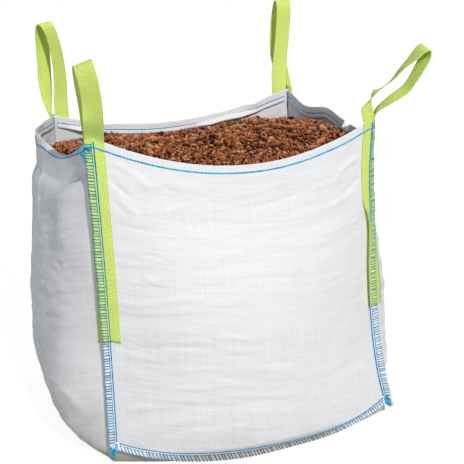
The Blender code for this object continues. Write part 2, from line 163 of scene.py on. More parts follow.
def read_off(at, places, values):
    """Points of a line, between the places where its values are known."""
    return np.stack([np.interp(at, places, values[:, axis]) for axis in range(3)], -1)


def direction(degrees):
    angle = np.radians(degrees)
    return np.stack([np.cos(angle), np.sin(angle), np.zeros_like(angle)], -1)


def noise(x, y, layer):
    """Smooth noise from -1 to 1, with one lump in each unit."""
    x, y = arrays(x, y)
    column, row = np.floor(x).astype(int), np.floor(y).astype(int)
    right, up = ease(x - column), ease(y - row)
    table = LATTICE[layer % 12]

    def at(i, j):
        return table[(row + j) % 128, (column + i) % 128]

    low = at(0, 0) * (1 - right) + at(1, 0) * right
    high = at(0, 1) * (1 - right) + at(1, 1) * right
    return 2 * (low * (1 - up) + high * up) - 1


def seam_point(corner, height):
    foot, rim = np.array(CORNERS[corner][0]), np.array(CORNERS[corner][1])
    height = np.asarray(height, float)
    point = mix(foot, rim, height)
    if corner == "front_right":
        pull = np.sin(np.pi * height ** 0.75) * (1 - 0.3 * ease((height - 0.45) / 0.55))
        pinch = np.sin(np.pi * np.clip((height - 0.7) / 0.3, 0, 1))
        point[..., 0] -= FRONT_RIGHT_TUCK * pull + FRONT_RIGHT_PINCH * pinch
        return point
    swell = SEAM_BELLY * 4 * height * (1 - height)
    aside = 0.4 if corner == "front_left" else math.copysign(1, rim[0])
    return point + swell[..., None] * np.array((aside, math.copysign(1, rim[1]), 0))


def fin_way(corner, height):
    start, end = CORNERS[corner][2:]
    return direction(start + (end - start) * np.asarray(height, float))


def base_fin_way(wall):
    forward = math.sqrt(1 - BASE_FIN_DROP ** 2)
    return np.array(WALLS[wall][2]) * forward - UP * BASE_FIN_DROP


def base_fin(wall, along):
    """From a base seam to its fin's edge: the front fin is narrower right of the middle."""
    reach = np.full(np.shape(along), BASE_FIN)
    if wall == "front":
        narrow = ease((along + 0.25) / 0.5) * (1 - ease((along - 0.8) / 0.2))
        reach = reach * (1 - 0.36 * narrow)
    return base_fin_way(wall) * reach[..., None]


def fin_point(corner, height, out):
    """A point of a corner fin, out from 0 at the seam to 1 at its edge, with the fin's gentle waves."""
    height, out = arrays(height, out)
    way = fin_way(corner, height)
    layer = list(CORNERS).index(corner)
    wave = 0.0022 * noise(height * 11, 3, layer) + 0.0012 * noise(height * 31, 7, layer + 4)
    wave = wave * out ** 1.5 * ease(height / 0.1)
    aside = level_left(way) * wave[..., None]
    return seam_point(corner, height) + way * (FIN * out)[..., None] + aside


def ear_point(corner, wall, out, down):
    """Where a corner fin and a base fin meet: out and down are the shares along the one and the other."""
    fin = fin_way(corner, 0.0) * FIN
    base = base_fin_way(wall) * BASE_FIN
    out, down = arrays(out, down)
    side = (out * (1 - (1 - EAR_OUT) * down))[..., None] * fin
    hang = (down * (1 + (EAR_DOWN - 1) * out))[..., None] * base
    return seam_point(corner, 0.0) + side + hang


def end_form(wall, along, height):
    left, right, outward, foot, belly, rim, sag = WALLS[wall]
    along, height = arrays(along, height)
    point = mix(seam_point(left, height), seam_point(right, height), (along + 1) / 2)
    low = foot + (belly - foot) * np.sin(np.pi / 2 * np.clip(height / FULLEST_AT, 0, 1))
    high = rim + (belly - rim) * half_wave((height - FULLEST_AT) / (1 - FULLEST_AT))
    crown = 1 - along * along
    point = point + (np.where(height < FULLEST_AT, low, high) * crown)[..., None] * np.array(outward)
    drop = BASE_SEAM_SAG * (1 - height) ** 3 * (1 - along ** 4) + sag * height * height * crown
    return point - drop[..., None] * UP


def side_middle(wall, height):
    _, _, outward, foot, belly, rim, sag = WALLS[wall]
    rolled = HALF_WIDTH + foot
    turn = np.pi / 2 * np.clip(height / ROLL_SHARE, 0, 1)
    swell = np.clip((height - ROLL_SHARE) / (SIDE_FULLEST_AT - ROLL_SHARE), 0, 1)
    fall = (height - SIDE_FULLEST_AT) / (1 - SIDE_FULLEST_AT)
    x = np.where(
        height < ROLL_SHARE,
        ROLL_START_X + (rolled - ROLL_START_X) * np.sin(turn),
        np.where(
            height < SIDE_FULLEST_AT,
            rolled + (belly - foot) * np.sin(np.pi / 2 * swell),
            HALF_WIDTH + rim + (belly - rim) * half_wave(fall),
        ),
    )
    z = np.where(
        height < ROLL_SHARE,
        SKIN + (ROLL_HEIGHT - SKIN) * (1 - np.cos(turn)),
        ROLL_HEIGHT + (RIM_HEIGHT - sag - ROLL_HEIGHT) * (height - ROLL_SHARE) / (1 - ROLL_SHARE),
    )
    return x * outward[0], z


def edge_lift(along):
    past = np.clip((np.abs(along) - FLAT_SHARE) / (1 - FLAT_SHARE), 0, 1)
    return 1 - np.sqrt(1 - past * past)


def rim_lift(wall, along):
    """How far a side's rim stands above its plain sag."""
    lifts = RIM_LIFTS[wall]
    total = np.zeros_like(along)
    for (start, low), (end, high) in zip(lifts, lifts[1:]):
        lift = low + (high - low) * ease((along - start) / (end - start))
        total = np.where((along >= start) & (along <= end), lift, total)
    return total


def side_form(wall, along, height):
    front, back = WALLS[wall][:2]
    along, height = arrays(along, height)
    at_front, at_back = seam_point(front, height), seam_point(back, height)
    point = mix(at_front, at_back, (along + 1) / 2).copy()
    centre = (at_front + at_back) / 2
    x, z = side_middle(wall, height)
    fullness = 1 - np.abs(along) ** (2 + 4 * (1 - height) ** 2)
    near_ground = 1 - ease(height / 0.15)
    lift = (1 - edge_lift(along)) * near_ground + fullness * (1 - near_ground)
    point[..., 0] += (x - centre[..., 0]) * fullness
    rise = np.where(near_ground < 1, z - centre[..., 2], SKIN - point[..., 2])
    near_rim = ease((height - RIM_LIFT_FROM) / (1 - RIM_LIFT_FROM))
    point[..., 2] += rise * lift + rim_lift(wall, along) * near_rim
    return point


def base_form(across, along):
    across, along = arrays(across, along)
    u, v = (across + 1) / 2, (along + 1) / 2
    front, back = end_form("front", across, 0.0), end_form("back", across, 0.0)
    left, right = side_form("left", along, 0.0), side_form("right", along, 0.0)
    feet = [seam_point(name, 0.0) for name in CORNERS]
    ends = mix(front, back, v)
    near, far = mix(feet[0], feet[2], v), mix(feet[1], feet[3], v)
    point = ends + mix(left, right, u) - mix(near, far, u)
    point[..., 2] = SKIN + (ends[..., 2] - SKIN) * edge_lift(along)
    return point


def form(wall, along, height):
    return (end_form if wall in ENDS else side_form)(wall, along, height)


# Folds in the cloth

# Creases of each wall, as seen from outside: where each starts and ends, in hundredths along and up, and
# its half width and its height in tenths of a millimetre. A height under 0 is a furrow
CREASE_UNITS = (100, 100, 100, 100, 10000, 10000)
CREASES = {
    "front": (
        (-93, 90, -72, 84, 100, -30), (-92, 95, -60, 86, 130, 36), (-90, 86, -70, 78, 110, 24),
        (-60, 90, -42, 87, 90, -20), (-62, 82, -38, 86, 120, 20), (-20, 72, 6, 66, 80, 15),
        (-16, 74, -2, 69, 60, -16), (5, 70, 30, 71, 70, 14), (-80, 60, -52, 57, 70, 16),
        (-78, 65.5, -55, 64, 60, -14), (93, 90, 66, 84, 100, 26), (92, 84, 72, 79, 90, -20),
        (94, 78, 60, 75, 100, 18), (-94, 10, -72, 16, 120, 30), (94, 10, 75, 17, 120, 30),
    ),
    "left": (
        (-60, 88, -10, 80, 180, 50), (-50, 80, -5, 70, 120, -36), (-40, 76, 15, 60, 140, 40),
        (-70, 66, -40, 60, 90, -26), (-20, 97, -10, 70, 160, 60), (5, 96, 5, 78, 140, -50),
        (20, 90, -10, 62, 140, 40), (-80, 52, -45, 50, 80, 20), (-75, 45, -30, 44, 80, -20),
        (-92, 10, -62, 22, 120, 40), (-90, 5, -50, 14, 100, -30), (92, 12, 60, 25, 120, 40),
        (90, 90, 60, 78, 140, 40),
    ),
    "right": (
        (-90, 92, -50, 80, 140, 45), (-86, 80, -50, 72, 110, -30), (90, 90, 40, 80, 140, 40),
        (-94, 40, -60, 42, 120, 34), (-92, 12, -62, 24, 120, 40), (92, 10, 62, 22, 120, 40),
        (-30, 70, 20, 62, 110, 28),
    ),
    "back": (
        (-93, 92, -60, 84, 120, 36), (93, 92, 62, 83, 120, 36), (-90, 82, -64, 76, 100, -24),
        (88, 80, 60, 74, 100, -24), (-30, 78, 10, 72, 100, 22), (94, 10, 72, 18, 120, 30),
        (-94, 10, -72, 18, 120, 30),
    ),
}
WALL_HALF = 0.45
END_TALL = 0.86
SIDE_TALL = 0.95


def wall_metres(wall, along, height):
    return along * WALL_HALF, height * (END_TALL if wall in ENDS else SIDE_TALL)


def crease_relief(wall, across, up):
    total = np.zeros_like(across)
    for number, crease in enumerate(CREASES[wall]):
        a0, h0, a1, h1, width, rise = np.array(crease) / CREASE_UNITS
        start, end = np.array(wall_metres(wall, a0, h0)), np.array(wall_metres(wall, a1, h1))
        run = end - start
        length = np.hypot(*run)
        x, y = across - start[0], up - start[1]
        share = (x * run[0] + y * run[1]) / length ** 2
        bend = 0.1 * length * np.sin(np.pi * np.clip(share, 0, 1)) * (1 if number % 2 else -1)
        aside = (x * run[1] - y * run[0]) / length + bend
        ends = ease(share / 0.3) * ease((1 - share) / 0.45)
        total += rise * bell(aside, width) * ends
    return total


def relief(wall, along, height):
    """How far the cloth stands out from the bag's plain form."""
    across, up = wall_metres(wall, along, height)
    layer = list(WALLS).index(wall) * 3
    sway = noise(across * 5, up * 4, layer)
    ripples = noise(across * 6 + sway, up * 58 + 2.5 * sway, layer + 1)
    wide_ripples = noise(across * 4.5 + 9, up * 27 + 2.0 * sway + 5, layer + 2)
    patches = ease(0.55 + 0.9 * noise(across * 4 + 3, up * 3.5, layer + 5))
    lumps = noise(across * 5 + 11, up * 4.5 + 2, layer + 6)
    small_lumps = noise(across * 13, up * 11 + 8, layer + 7)
    rough = 1.0 if wall in ENDS else 1.5
    slant = up * 0.995 + across * 0.12
    fine_ripples = noise(across * 9 + sway, slant * 84 + 2.0 * sway, layer + 4)
    total = 0.0011 * ripples * patches + 0.0014 * wide_ripples * (0.4 + 0.6 * patches)
    total = total + 0.0006 * fine_ripples
    total = total * rough + 0.0032 * rough * (lumps + 0.6) + 0.0013 * rough * small_lumps
    if rough > 1:
        crumples = noise(across * 46 + up * 20, up * 52 - across * 16, layer + 11)
        total = total + 0.002 * crumples * patches * (1 - ease((np.abs(along + 0.3) - 0.35) / 0.25))
    edge = 1 - np.abs(along)
    seam = ease(edge / 0.1)
    puckers = 0.001 * noise(up * 26, edge * 10, layer + 8) * np.exp(-edge / 0.1) * ease(edge / 0.035)
    total = total + crease_relief(wall, across, up) + 2 * puckers
    total = total * np.maximum(seam, ease(edge / 0.04) * 0.3)
    total = total * ease(height / 0.09) * ease((1 - height) / 0.1)
    hem = ease((height - 0.9) / 0.06) * ease(edge / 0.12)
    waves = 0.003 * noise(across * 11, 2.5, layer + 9) + 0.0012 * noise(across * 34, 5.5, layer + 10)
    return total + hem * waves


def hollow(wall, along, height):
    """How far a side falls in from its plain form, where it is slack above the soil and at its foot."""
    if wall != "left":
        return np.zeros_like(along)
    front_half = ease((along + 0.99) / 0.1) * (1 - ease((along - 0.1) / 0.6))
    slack = 0.013 * ease((height - 0.865) / 0.04) - 0.003 * bell(height - 0.84, 0.03)
    middle = 0.008 * bell(height - 0.62, 0.14) * (1 - along ** 2) ** 2
    foot = 0.01 * ease(height / 0.1) * (1 - ease((height - 0.13) / 0.12))
    foot = foot * (1 - ease((np.abs(along) - 0.4) / 0.4))
    swell = 0.013 * bell(height - 0.8, 0.13) + 0.005 * ease((height - 0.1) / 0.2)
    shoulder = bell(along + 0.7, 0.17) * ease((0.9 - height) / 0.06) * swell
    return slack * front_half + middle + foot - shoulder


def drawn_form(wall, along, height):
    lean = rim_lean(wall, along, height)
    inward = (hollow(wall, along, height) + lean)[..., None] * np.array(WALLS[wall][2], float)
    return form(wall, along, height) - inward - (RIM_LEAN_DROP * np.abs(lean))[..., None] * UP


def rim_lean(wall, along, height):
    """How far the cloth near a rim leans in."""
    total = np.zeros_like(along)
    for middle, half, reach, depth in RIM_LEANS.get(wall, ()):
        share = 1 - ease(np.abs(along - middle) / half)
        total = total + reach * share * np.clip((height - 1 + depth) / depth, 0, 1) ** 1.2
    return total


def surface(wall, along, height):
    """Points of the cloth, on its drawn surface, and their outward normals."""
    along, height = arrays(along, height)
    step = 2e-3
    point = drawn_form(wall, along, height)
    right, left = np.minimum(along + step, 1), np.maximum(along - step, -1)
    beside = drawn_form(wall, right, height) - drawn_form(wall, left, height)
    high, low = np.minimum(height + step, 1), np.maximum(height - step, 0)
    above = drawn_form(wall, along, high) - drawn_form(wall, along, low)
    normal = unit(np.cross(beside, above))
    normal = normal * np.where((normal * (point - MIDDLE)).sum(-1) < 0, -1, 1)[..., None]
    return point + normal * relief(wall, along, height)[..., None], normal


# Meshes

def link(name, data):
    made = bpy.data.objects.new(name, data)
    bpy.context.scene.collection.objects.link(made)
    return made


def add_mesh(name, points, faces, material, uv=None, smooth=True, tones_and_shade=None):
    mesh = bpy.data.meshes.new(name)
    mesh.from_pydata(points, [], faces)
    if uv is not None:
        layer = mesh.uv_layers.new(name="cloth")
        corners = np.empty(len(mesh.loops), int)
        mesh.loops.foreach_get("vertex_index", corners)
        layer.uv.foreach_set("vector", np.asarray(uv, np.float32)[corners].ravel())
    if tones_and_shade is not None:
        layer = mesh.attributes.new("tone_and_shade", "FLOAT", "POINT")
        layer.data.foreach_set("value", np.asarray(tones_and_shade, np.float32))
    mesh.polygons.foreach_set("use_smooth", np.full(len(mesh.polygons), smooth))
    mesh.materials.append(material)
    made = link(name, mesh)
    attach(made, "root")
    return made


def merge_points(data, distance, turn_outward=False):
    mesh = bmesh.new()
    mesh.from_mesh(data)
    bmesh.ops.remove_doubles(mesh, verts=mesh.verts, dist=distance)
    if turn_outward:
        bmesh.ops.recalc_face_normals(mesh, faces=mesh.faces)
    mesh.to_mesh(data)
    mesh.free()


def grid_faces(held):
    """Quads of a grid of points, without those that touch a point that isn't held."""
    rows, columns = held.shape
    index = np.arange(rows * columns).reshape(rows, columns)
    quads = np.stack([index[:-1, :-1], index[:-1, 1:], index[1:, 1:], index[1:, :-1]], -1).reshape(-1, 4)
    return quads[held.ravel()[quads].all(1)]


def add_sheet(name, points, u, v, thickness, offset, material, flip=False):
    """Cloth from rows of points, with nan for holes, and where its columns and rows lie when it is flat."""
    quads = grid_faces(~np.isnan(points[..., 0]))
    if flip:
        quads = quads[:, ::-1]
    flat = np.nan_to_num(points.reshape(-1, 3))
    uv = np.stack(np.broadcast_arrays(u[None], v[:, None]), -1)
    used = np.unique(quads)
    place = np.full(len(flat), -1)
    place[used] = np.arange(len(used))
    made = add_mesh(name, flat[used], place[quads].tolist(), material, uv.reshape(-1, 2)[used])
    merge_points(made.data, 0.00001)
    skin = made.modifiers.new("thickness", "SOLIDIFY")
    skin.thickness = thickness
    skin.offset = offset
    skin.use_even_offset = True
    skin.thickness_clamp = 0
    bpy.context.view_layer.update()
    graph = bpy.context.evaluated_depsgraph_get()
    old, mesh = made.data, bpy.data.meshes.new_from_object(made.evaluated_get(graph))
    name = old.name
    made.modifiers.clear()
    made.data = mesh
    bpy.data.meshes.remove(old)
    mesh.name = name
    return made


def tube_batch(points, normals, wide, high, sides=5):
    """Threads along many lines: wide and high are their half sizes along the cloth and off it."""
    points = np.maximum(points, (-np.inf, -np.inf, LOWEST_THREAD))
    tangent = unit(np.gradient(points, axis=1))
    side = unit(np.cross(tangent, normals))
    off = np.cross(side, tangent)
    turn = 2 * np.pi * np.arange(sides) / sides
    wide = np.broadcast_to(wide, points.shape[:2])[..., None, None]
    high = np.broadcast_to(high, points.shape[:2])[..., None, None]
    rings = points[:, :, None] + side[:, :, None] * np.cos(turn)[:, None] * wide
    rings = rings + off[:, :, None] * np.sin(turn)[:, None] * high
    index = np.arange(rings.size // 3).reshape(rings.shape[:3])
    after = np.roll(index, -1, axis=2)
    quads = np.stack([index[:, :-1], after[:, :-1], after[:, 1:], index[:, 1:]], -1).reshape(-1, 4)[:, ::-1]
    return rings.reshape(-1, 3), quads.tolist() + index[:, 0].tolist() + index[:, -1, ::-1].tolist()


def tube(points, normals, wide, high, sides):
    return tube_batch(points[None], np.asarray(normals)[None], wide, high, sides)


def add_tubes(name, tubes, material):
    points, faces = [], []
    start = 0
    for more, quads in tubes:
        points.append(more)
        faces += [[start + corner for corner in face] for face in quads]
        start += len(more)
    return add_mesh(name, np.vstack(points), faces, material)


# Fabric panels

FINS = np.array((1.0, 0.8, 0.6, 0.4, 0.2))
HEM_REACH = 0.978
HEM_GAPE = 0.0022
HEM_GAPE_VARIES = 0.0018
HEM_TURNS = 4
HEM_DROPS = 8
EAR_TURNS = 8


def spread(count):
    """Shares from -1 to 1 that crowd towards both, where the cloth turns into the seams."""
    even = np.linspace(-1, 1, count)
    return 0.55 * even + 0.45 * np.sin(np.pi / 2 * even)


def hem_rows(wall, along):
    """The folded-in hem: round over the top, then down inside, with its free edge a little off the wall."""
    top, off = surface(wall, along, 1.0)
    up = unit(top - surface(wall, along, 0.996)[0])
    rows = []
    for turn in np.arange(1, HEM_TURNS + 1) * math.pi / HEM_TURNS:
        rows.append(top + (up * math.sin(turn) - off * (1 - math.cos(turn))) * HEM_FOLD / 2)
    gape = HEM_GAPE + HEM_GAPE_VARIES * noise(along * 6, 1.5, list(WALLS).index(wall) + 3)
    for middle, half, reach in HEM_GAPES.get(wall, ()):
        gape = gape + reach * (1 - ease(np.abs(along - middle) / half))
    for drop in np.linspace(0, 1, HEM_DROPS + 1)[1:]:
        height = 1 - HEM_DEPTH * drop / (top[:, 2] - SKIN)
        below, off = surface(wall, along, height)
        above_soil = ease((below[:, 2] - soil_level(below[:, 0], below[:, 1]) - 0.004) / 0.02)
        loose = ease((drop - 0.5) / 0.5) * np.where(gape > 0.006, above_soil, 1)
        rows.append(below - off * (HEM_FOLD + loose * gape)[:, None])
    rows = np.array(rows)
    rows[:, np.abs(along) > HEM_REACH] = np.nan
    side = np.full((len(rows), len(FINS), 3), np.nan)
    return np.hstack([side, rows, side])


def wall_rows(wall, along, height):
    """A wall's rows from its foot to its rim, with the corner fins at both ends."""
    left, right = WALLS[wall][:2]
    body, _ = surface(wall, along[None], height[:, None])
    near = np.stack([fin_point(left, height, out) for out in FINS], 1)
    far = np.stack([fin_point(right, height, out) for out in FINS[::-1]], 1)
    return np.hstack([near, body, far])


def cloth_columns(along):
    """Where a panel's columns lie across the flat cloth."""
    return np.hstack([-CLOTH_HALF - FINS * FIN, along * CLOTH_HALF, CLOTH_HALF + FINS[::-1] * FIN])


def end_panel(wall, name, material, columns, tall):
    left, right = WALLS[wall][:2]
    along, height = spread(columns), np.linspace(0.0, 1.0, tall)
    low = []
    for down in FINS:
        foot = form(wall, along, 0.0) + base_fin(wall, along) * down
        near, far = ear_point(left, wall, FINS, down), ear_point(right, wall, FINS[::-1], down)
        low.append(np.vstack([near, foot, far]))
    hem = hem_rows(wall, along)
    points = np.vstack([low, wall_rows(wall, along, height), hem])
    v_hem = CLOTH_TALL + np.linspace(0, HEM_DEPTH, len(hem))
    v = np.hstack([-FINS * BASE_FIN, height * CLOTH_TALL, v_hem])
    offset = 1 + CLEARANCE / FABRIC
    return add_sheet(name, points, cloth_columns(along), v, FABRIC, offset, material, flip=wall == "back")


def side_base_panel(name, material, columns, tall, long):
    along, height, across = spread(columns), np.linspace(0.0, 1.0, tall), spread(long)

    def ear_rows(wall):
        """Round the ear, from the corner fin to the base fin."""
        front, back = WALLS[wall][:2]
        body = form(wall, along, 0.0)
        rows = []
        for turn in np.linspace(0, 2, EAR_TURNS + 1)[1:]:
            out, down = (1, turn) if turn <= 1 else (2 - turn, 1)
            near = ear_point(front, "front", FINS * out, FINS * down)
            far = ear_point(back, "back", FINS[::-1] * out, FINS[::-1] * down)
            rows.append(np.vstack([near, body, far]))
        return np.array(rows)

    body = base_form(across[:, None], along[None])
    near = body[:, :1] + FINS[:, None] * base_fin("front", across)[:, None]
    far = body[:, -1:] + FINS[::-1, None] * base_fin("back", across)[:, None]
    base = np.hstack([near, body, far])[1:-1]
    sides = []
    for wall in ("left", "right"):
        rows = hem_rows(wall, along)[::-1], wall_rows(wall, along, height)[::-1], ear_rows(wall)
        sides.append(np.vstack(rows))
    points = np.vstack([sides[0], base, sides[1][::-1]])
    points[..., 2] = np.maximum(points[..., 2], base[..., 2].min())
    v_hem = SIDE_CLOTH_TALL + np.linspace(HEM_DEPTH, 0, HEM_TURNS + HEM_DROPS)
    v_left = -BASE_CLOTH_HALF - np.hstack([v_hem, SIDE_CLOTH_TALL * height[::-1]])
    v_ear = np.full(EAR_TURNS, BASE_CLOTH_HALF)
    v = np.hstack([v_left, -v_ear, across[1:-1] * BASE_CLOTH_HALF, v_ear, -v_left[::-1]])
    return add_sheet(name, points, cloth_columns(along), v, FABRIC, 1 + CLEARANCE / FABRIC, material)


# Lifting loops

# A leg that is caught in its seam, from its edge on the fin to its edge on the wall
OVER_SEAM = (-FIN, -FIN / 2, 0.0, 0.0145, 0.029)
REVERSED = OVER_SEAM[::-1]

# Low on the front right corner the free half of the strap isn't held down, and stands out from the wall
STANDS_OUT_BELOW = 0.76
STANDS_OUT_FULLY = 0.62
STANDING_FROM_SEAM = 0.006
STANDING_REACH = 0.85


def laid(start):
    """A leg laid flat beside its seam."""
    return tuple(start + WEBBING_WIDTH * share / 4 for share in range(5))


# Each loop's two legs: the wall, and how far each column lies from the seam, on its fin where under 0
LEGS = {
    "front_left": (
        ("front", (-FIN, -FIN / 2, 0.0, 0.016, 0.032)),
        ("left", (-FIN, -FIN / 2, 0.0, 0.012, 0.0235)),
    ),
    "front_right": (("front", REVERSED), ("right", laid(0.02))),
    "back_left": (("back", laid(0.005)), ("left", REVERSED)),
    "back_right": (("back", laid(0.005)[::-1]), ("right", OVER_SEAM)),
}

# The free part of each loop: its middle in millimetres, and in degrees its right edge's way in plan and
# rise and how far its halves fold in
STANDS = {
    "front_left": (
        (-404, -456, 962, -8, -2, -10), (-406, -472, 1010, -24, 6, 0), (-411.5, -482, 1058, -27, 13, 0),
        (-417.5, -479, 1093, -26, 17, 0), (-420, -462, 1109, -26, 18, 0), (-419, -442, 1097, -26, 17, 0),
        (-415, -429, 1061, -26, 12, 0), (-409, -426, 1008, -20, 4, 4), (-405, -426, 960, 20, 0, 26),
    ),
    "front_right": (
        (371.5, -405, 915, 28, 0, 14), (371.5, -405, 934, 34, 10, 20), (388, -396, 962, 62, 16, 6),
        (414, -388, 975, 66, -4, 0), (447, -390, 996, 72, -6, 0), (477, -395, 1028, 80, -4, 0),
        (506, -397, 1051, 88, 5, 0), (533, -398, 1076, 90, 17, 0), (548, -398, 1080, 90, 19, 0),
        (548.5, -398, 1060, 90, 17, 0), (530, -397, 1028, 90, 14, 0), (511, -395, 998, 86, 14, 0),
        (489, -392, 970, 82, 16, 0), (454, -388, 948, 78, 16, 0), (426, -380, 929, 74, 10, 0),
        (408, -370, 912, 70, 3, 0),
    ),
    "back_left": (
        (-381.5, 442, 937, 24, 0, 0), (-377, 448, 992, 30, 0, 0), (-377, 450, 1044, 34, 0, 0),
        (-382, 448, 1099, 36, 1, 0), (-393, 442, 1150, 38, 3, 0), (-404, 442, 1178, 36, 6, 0),
        (-414, 453, 1187, 34, 8, 0), (-421, 467, 1170, 32, 6, 0), (-422, 477, 1122, 28, 2, 0),
        (-423, 479, 1062, 26, 0, 0), (-426, 472, 992, 28, 0, 0), (-423.5, 454, 934, 48, 0, 6),
    ),
    "back_right": (
        (408, 442, 957, -8, 0, 0), (417, 450, 1012, 0, 0, 0), (427, 454, 1072, 3, 0, 0),
        (433.5, 455, 1127, 3, 0, 0), (437, 452, 1177, 2, 0, 0), (438, 457, 1206, 2, 0, 0),
        (438, 471, 1215, 2, 0, 0), (437, 486, 1202, 2, 0, 0), (429, 492, 1152, 1, 0, 0),
        (421.5, 490, 1082, -2, 0, 0), (420.5, 478, 1012, -14, 0, 0), (427, 459, 954, -46, 0, 6),
    ),
}


def leg_share(corner, wall, reach):
    """Where a leg's column lies along its wall."""
    share = 1 - reach / WALL_LENGTH_PER_SHARE
    return -share if WALLS[wall][0] == corner else share


def stand_off(points, distance, outward):
    """Moves runs of points sideways in plan, with mitred corners, to the side that outward points to."""
    run = np.diff(points, axis=-2)
    normals = unit(level_left(run))
    facing = normals @ outward
    longest = np.abs(facing).argmax(-1)
    sign = np.sign(np.take_along_axis(facing, longest[..., None], -1))[..., None]
    before = np.concatenate([normals[..., :1, :], normals], -2)
    after = np.concatenate([normals, normals[..., -1:, :]], -2)
    share = 1 + (before * after).sum(-1, keepdims=True)
    return points + (before + after) * sign * distance / share


def sewn_sections(corner, leg, height, distance):
    """The columns of a sewn leg at each height, off the cloth by a distance."""
    wall, reaches = leg
    columns = []
    for reach in reaches:
        if reach <= 0:
            columns.append(fin_point(corner, height, -reach / FIN))
            continue
        point = surface(wall, leg_share(corner, wall, reach), height)[0]
        if (corner, wall) == ("front_right", "front"):
            near = surface(wall, leg_share(corner, wall, STANDING_FROM_SEAM), height)[0]
            standing = near + np.array(WALLS[wall][2]) * (reach - STANDING_FROM_SEAM / 2) * STANDING_REACH
            held = ease((height - STANDS_OUT_FULLY) / (STANDS_OUT_BELOW - STANDS_OUT_FULLY))
            point = mix(point, standing, 1 - held)
        columns.append(point)
    return stand_off(np.stack(columns, 1), distance, np.array(WALLS[wall][2]))


def free_section(stand):
    x, y, z, turn, tilt, fold = stand
    half = WEBBING_WIDTH / 2
    rise = UP * math.sin(math.radians(tilt))
    level = math.cos(math.radians(tilt))
    right = (direction(np.array(float(turn + fold))) * level + rise) * half
    left = (direction(np.array(float(turn + 180 - fold))) * level - rise) * half
    middle = np.array((x, y, z)) / 1000
    return np.stack([middle + left, middle + left / 2, middle, middle + right / 2, middle + right])


def strap_rows(corner, spacing=0.0075):
    end_leg, side_leg = LEGS[corner]
    lift = SKIN + STRAP_CLEARANCE + WEBBING / 2
    height = np.linspace(STRAP_FOOT, 1.0, 76)
    up, down = (sewn_sections(corner, leg, height, lift) for leg in (end_leg, side_leg))
    last = np.array((0.965, 1.0))
    guides = [*sewn_sections(corner, end_leg, last, lift), *map(free_section, STANDS[corner])]
    guides += [*sewn_sections(corner, side_leg, last[::-1], lift)]
    knots = lengths_along(np.array(guides)[:, 2])
    rows = list(up)
    for index in range(1, len(guides) - 2):
        before, start, end, after = guides[index - 1:index + 3]
        k0, k1, k2, k3 = knots[index - 1:index + 3]
        span = k2 - k1
        steps = max(int(round(span / spacing)), 2)
        for share in np.arange(1, steps + 1) / steps:
            s2, s3 = share * share, share ** 3
            leave, arrive = (end - before) / (k2 - k0) * span, (after - start) / (k3 - k1) * span
            point = start * (2 * s3 - 3 * s2 + 1) + leave * (s3 - 2 * s2 + share)
            rows.append(point + end * (3 * s2 - 2 * s3) + arrive * (s3 - s2))
    return np.array(rows + list(down[::-1])[1:])


def widen(rows, steps=4):
    """Columns between the five that a strap is drawn with."""
    count = rows.shape[1]
    at = np.linspace(0, count - 1, (count - 1) * steps + 1)
    low = np.minimum(at.astype(int), count - 2)
    share = (at - low)[:, None]
    return rows[:, low] * (1 - share) + rows[:, low + 1] * share


def add_loop(corner, material):
    rows = widen(strap_rows(corner))
    length = lengths_along(rows[:, rows.shape[1] // 2])
    across = np.linspace(0, WEBBING_WIDTH, rows.shape[1])
    made = add_sheet("webbing_loop_" + corner, rows, across, length, WEBBING, 0, material)
    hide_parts("loop_" + corner)
    return made, float(length[-1])


# Stitching

# Lines of thread: on a seam how far out on its fin, then pitch, half width, half height, and how thick the
# thread is between stitches, as a share
CORNER_CHAIN = (0.05, 0.0075, 0.0025, 0.0012, 0.72)
CORNER_NEEDLE = (0.31, 0.0063, 0.0009, 0.0008, 0.7)
BASE_CHAIN = (0.06, 0.0075, 0.002, 0.001, 0.6)
BASE_NEEDLE = (0.36, 0.0072, 0.0008, 0.0007, 0.7)
STRAP_ROW = (0.0075, 0.0012, 0.0009, 0.5, 4)
STRAP_ROWS_AT = (0.012, 0.041)
HEM_OUTSIDE = (0.0095, 0.0027, 0.0012, 0.48)
HEM_INSIDE = (0.0095, 0.0022, 0.0011, 0.4, 4, 3)

# At the top of the front left seam: clumps, each with how far out on the fin, how far down, and size, and
# loose ends, each with way, length, curl and seed
TOP_KNOTS = ((0.5, 0.01, 0.006), (1.0, 0.006, 0.006), (1.3, 0.024, 0.007), (1.0, 0.04, 0.006))
TOP_TAILS = (
    ((-0.8, 0.0, 0.9), 0.034, 0.006, 3), ((-1.0, 0.1, -0.2), 0.03, 0.006, 4),
    ((-0.6, -0.2, -0.7), 0.03, 0.005, 5),
)

# Points of an overlock rung: how far out on the fin, and how far along in pitches
RUNG_OUT = np.array((0.3, 0.52, 0.78, 1.0, 1.05, 1.0, 0.78, 0.52, 0.3))
RUNG_LEAN = np.array((-0.42, -0.3, -0.14, 0.0, 0.06, 0.12, 0.24, 0.36, 0.46))
RUNG_HIGH = 0.0007

# From where to where along a seam its threads run, and how many rungs it has and their half width
CORNER_REACH = (0.004, 0.992)
CORNER_RUNG_REACH = (0.004, 0.994)
CORNER_RUNGS = (104, 0.0015)
BASE_REACH = (-0.985, 0.985)
BASE_RUNGS = (88, 0.00155)


def on_seam(corner, wall, height, out, gap=0.0):
    """A point on a seam's face towards a wall, over a strap that is caught in it, and the way off it."""
    height = np.asarray(height, float)
    way = fin_way(corner, height)
    off = level_left(way)
    if (WALLS[wall][2][1] != 0) != (corner in ("front_left", "back_right")):
        off = -off
    end_leg, side_leg = LEGS[corner]
    leg = end_leg if end_leg[0] == wall else side_leg
    on_strap = ease((height - STRAP_FOOT + 0.006) / 0.008) * (min(leg[1]) < 0)
    depth = SKIN + (STRAP_SKIN - SKIN) * on_strap + gap
    return fin_point(corner, height, out) + off * depth[..., None], off


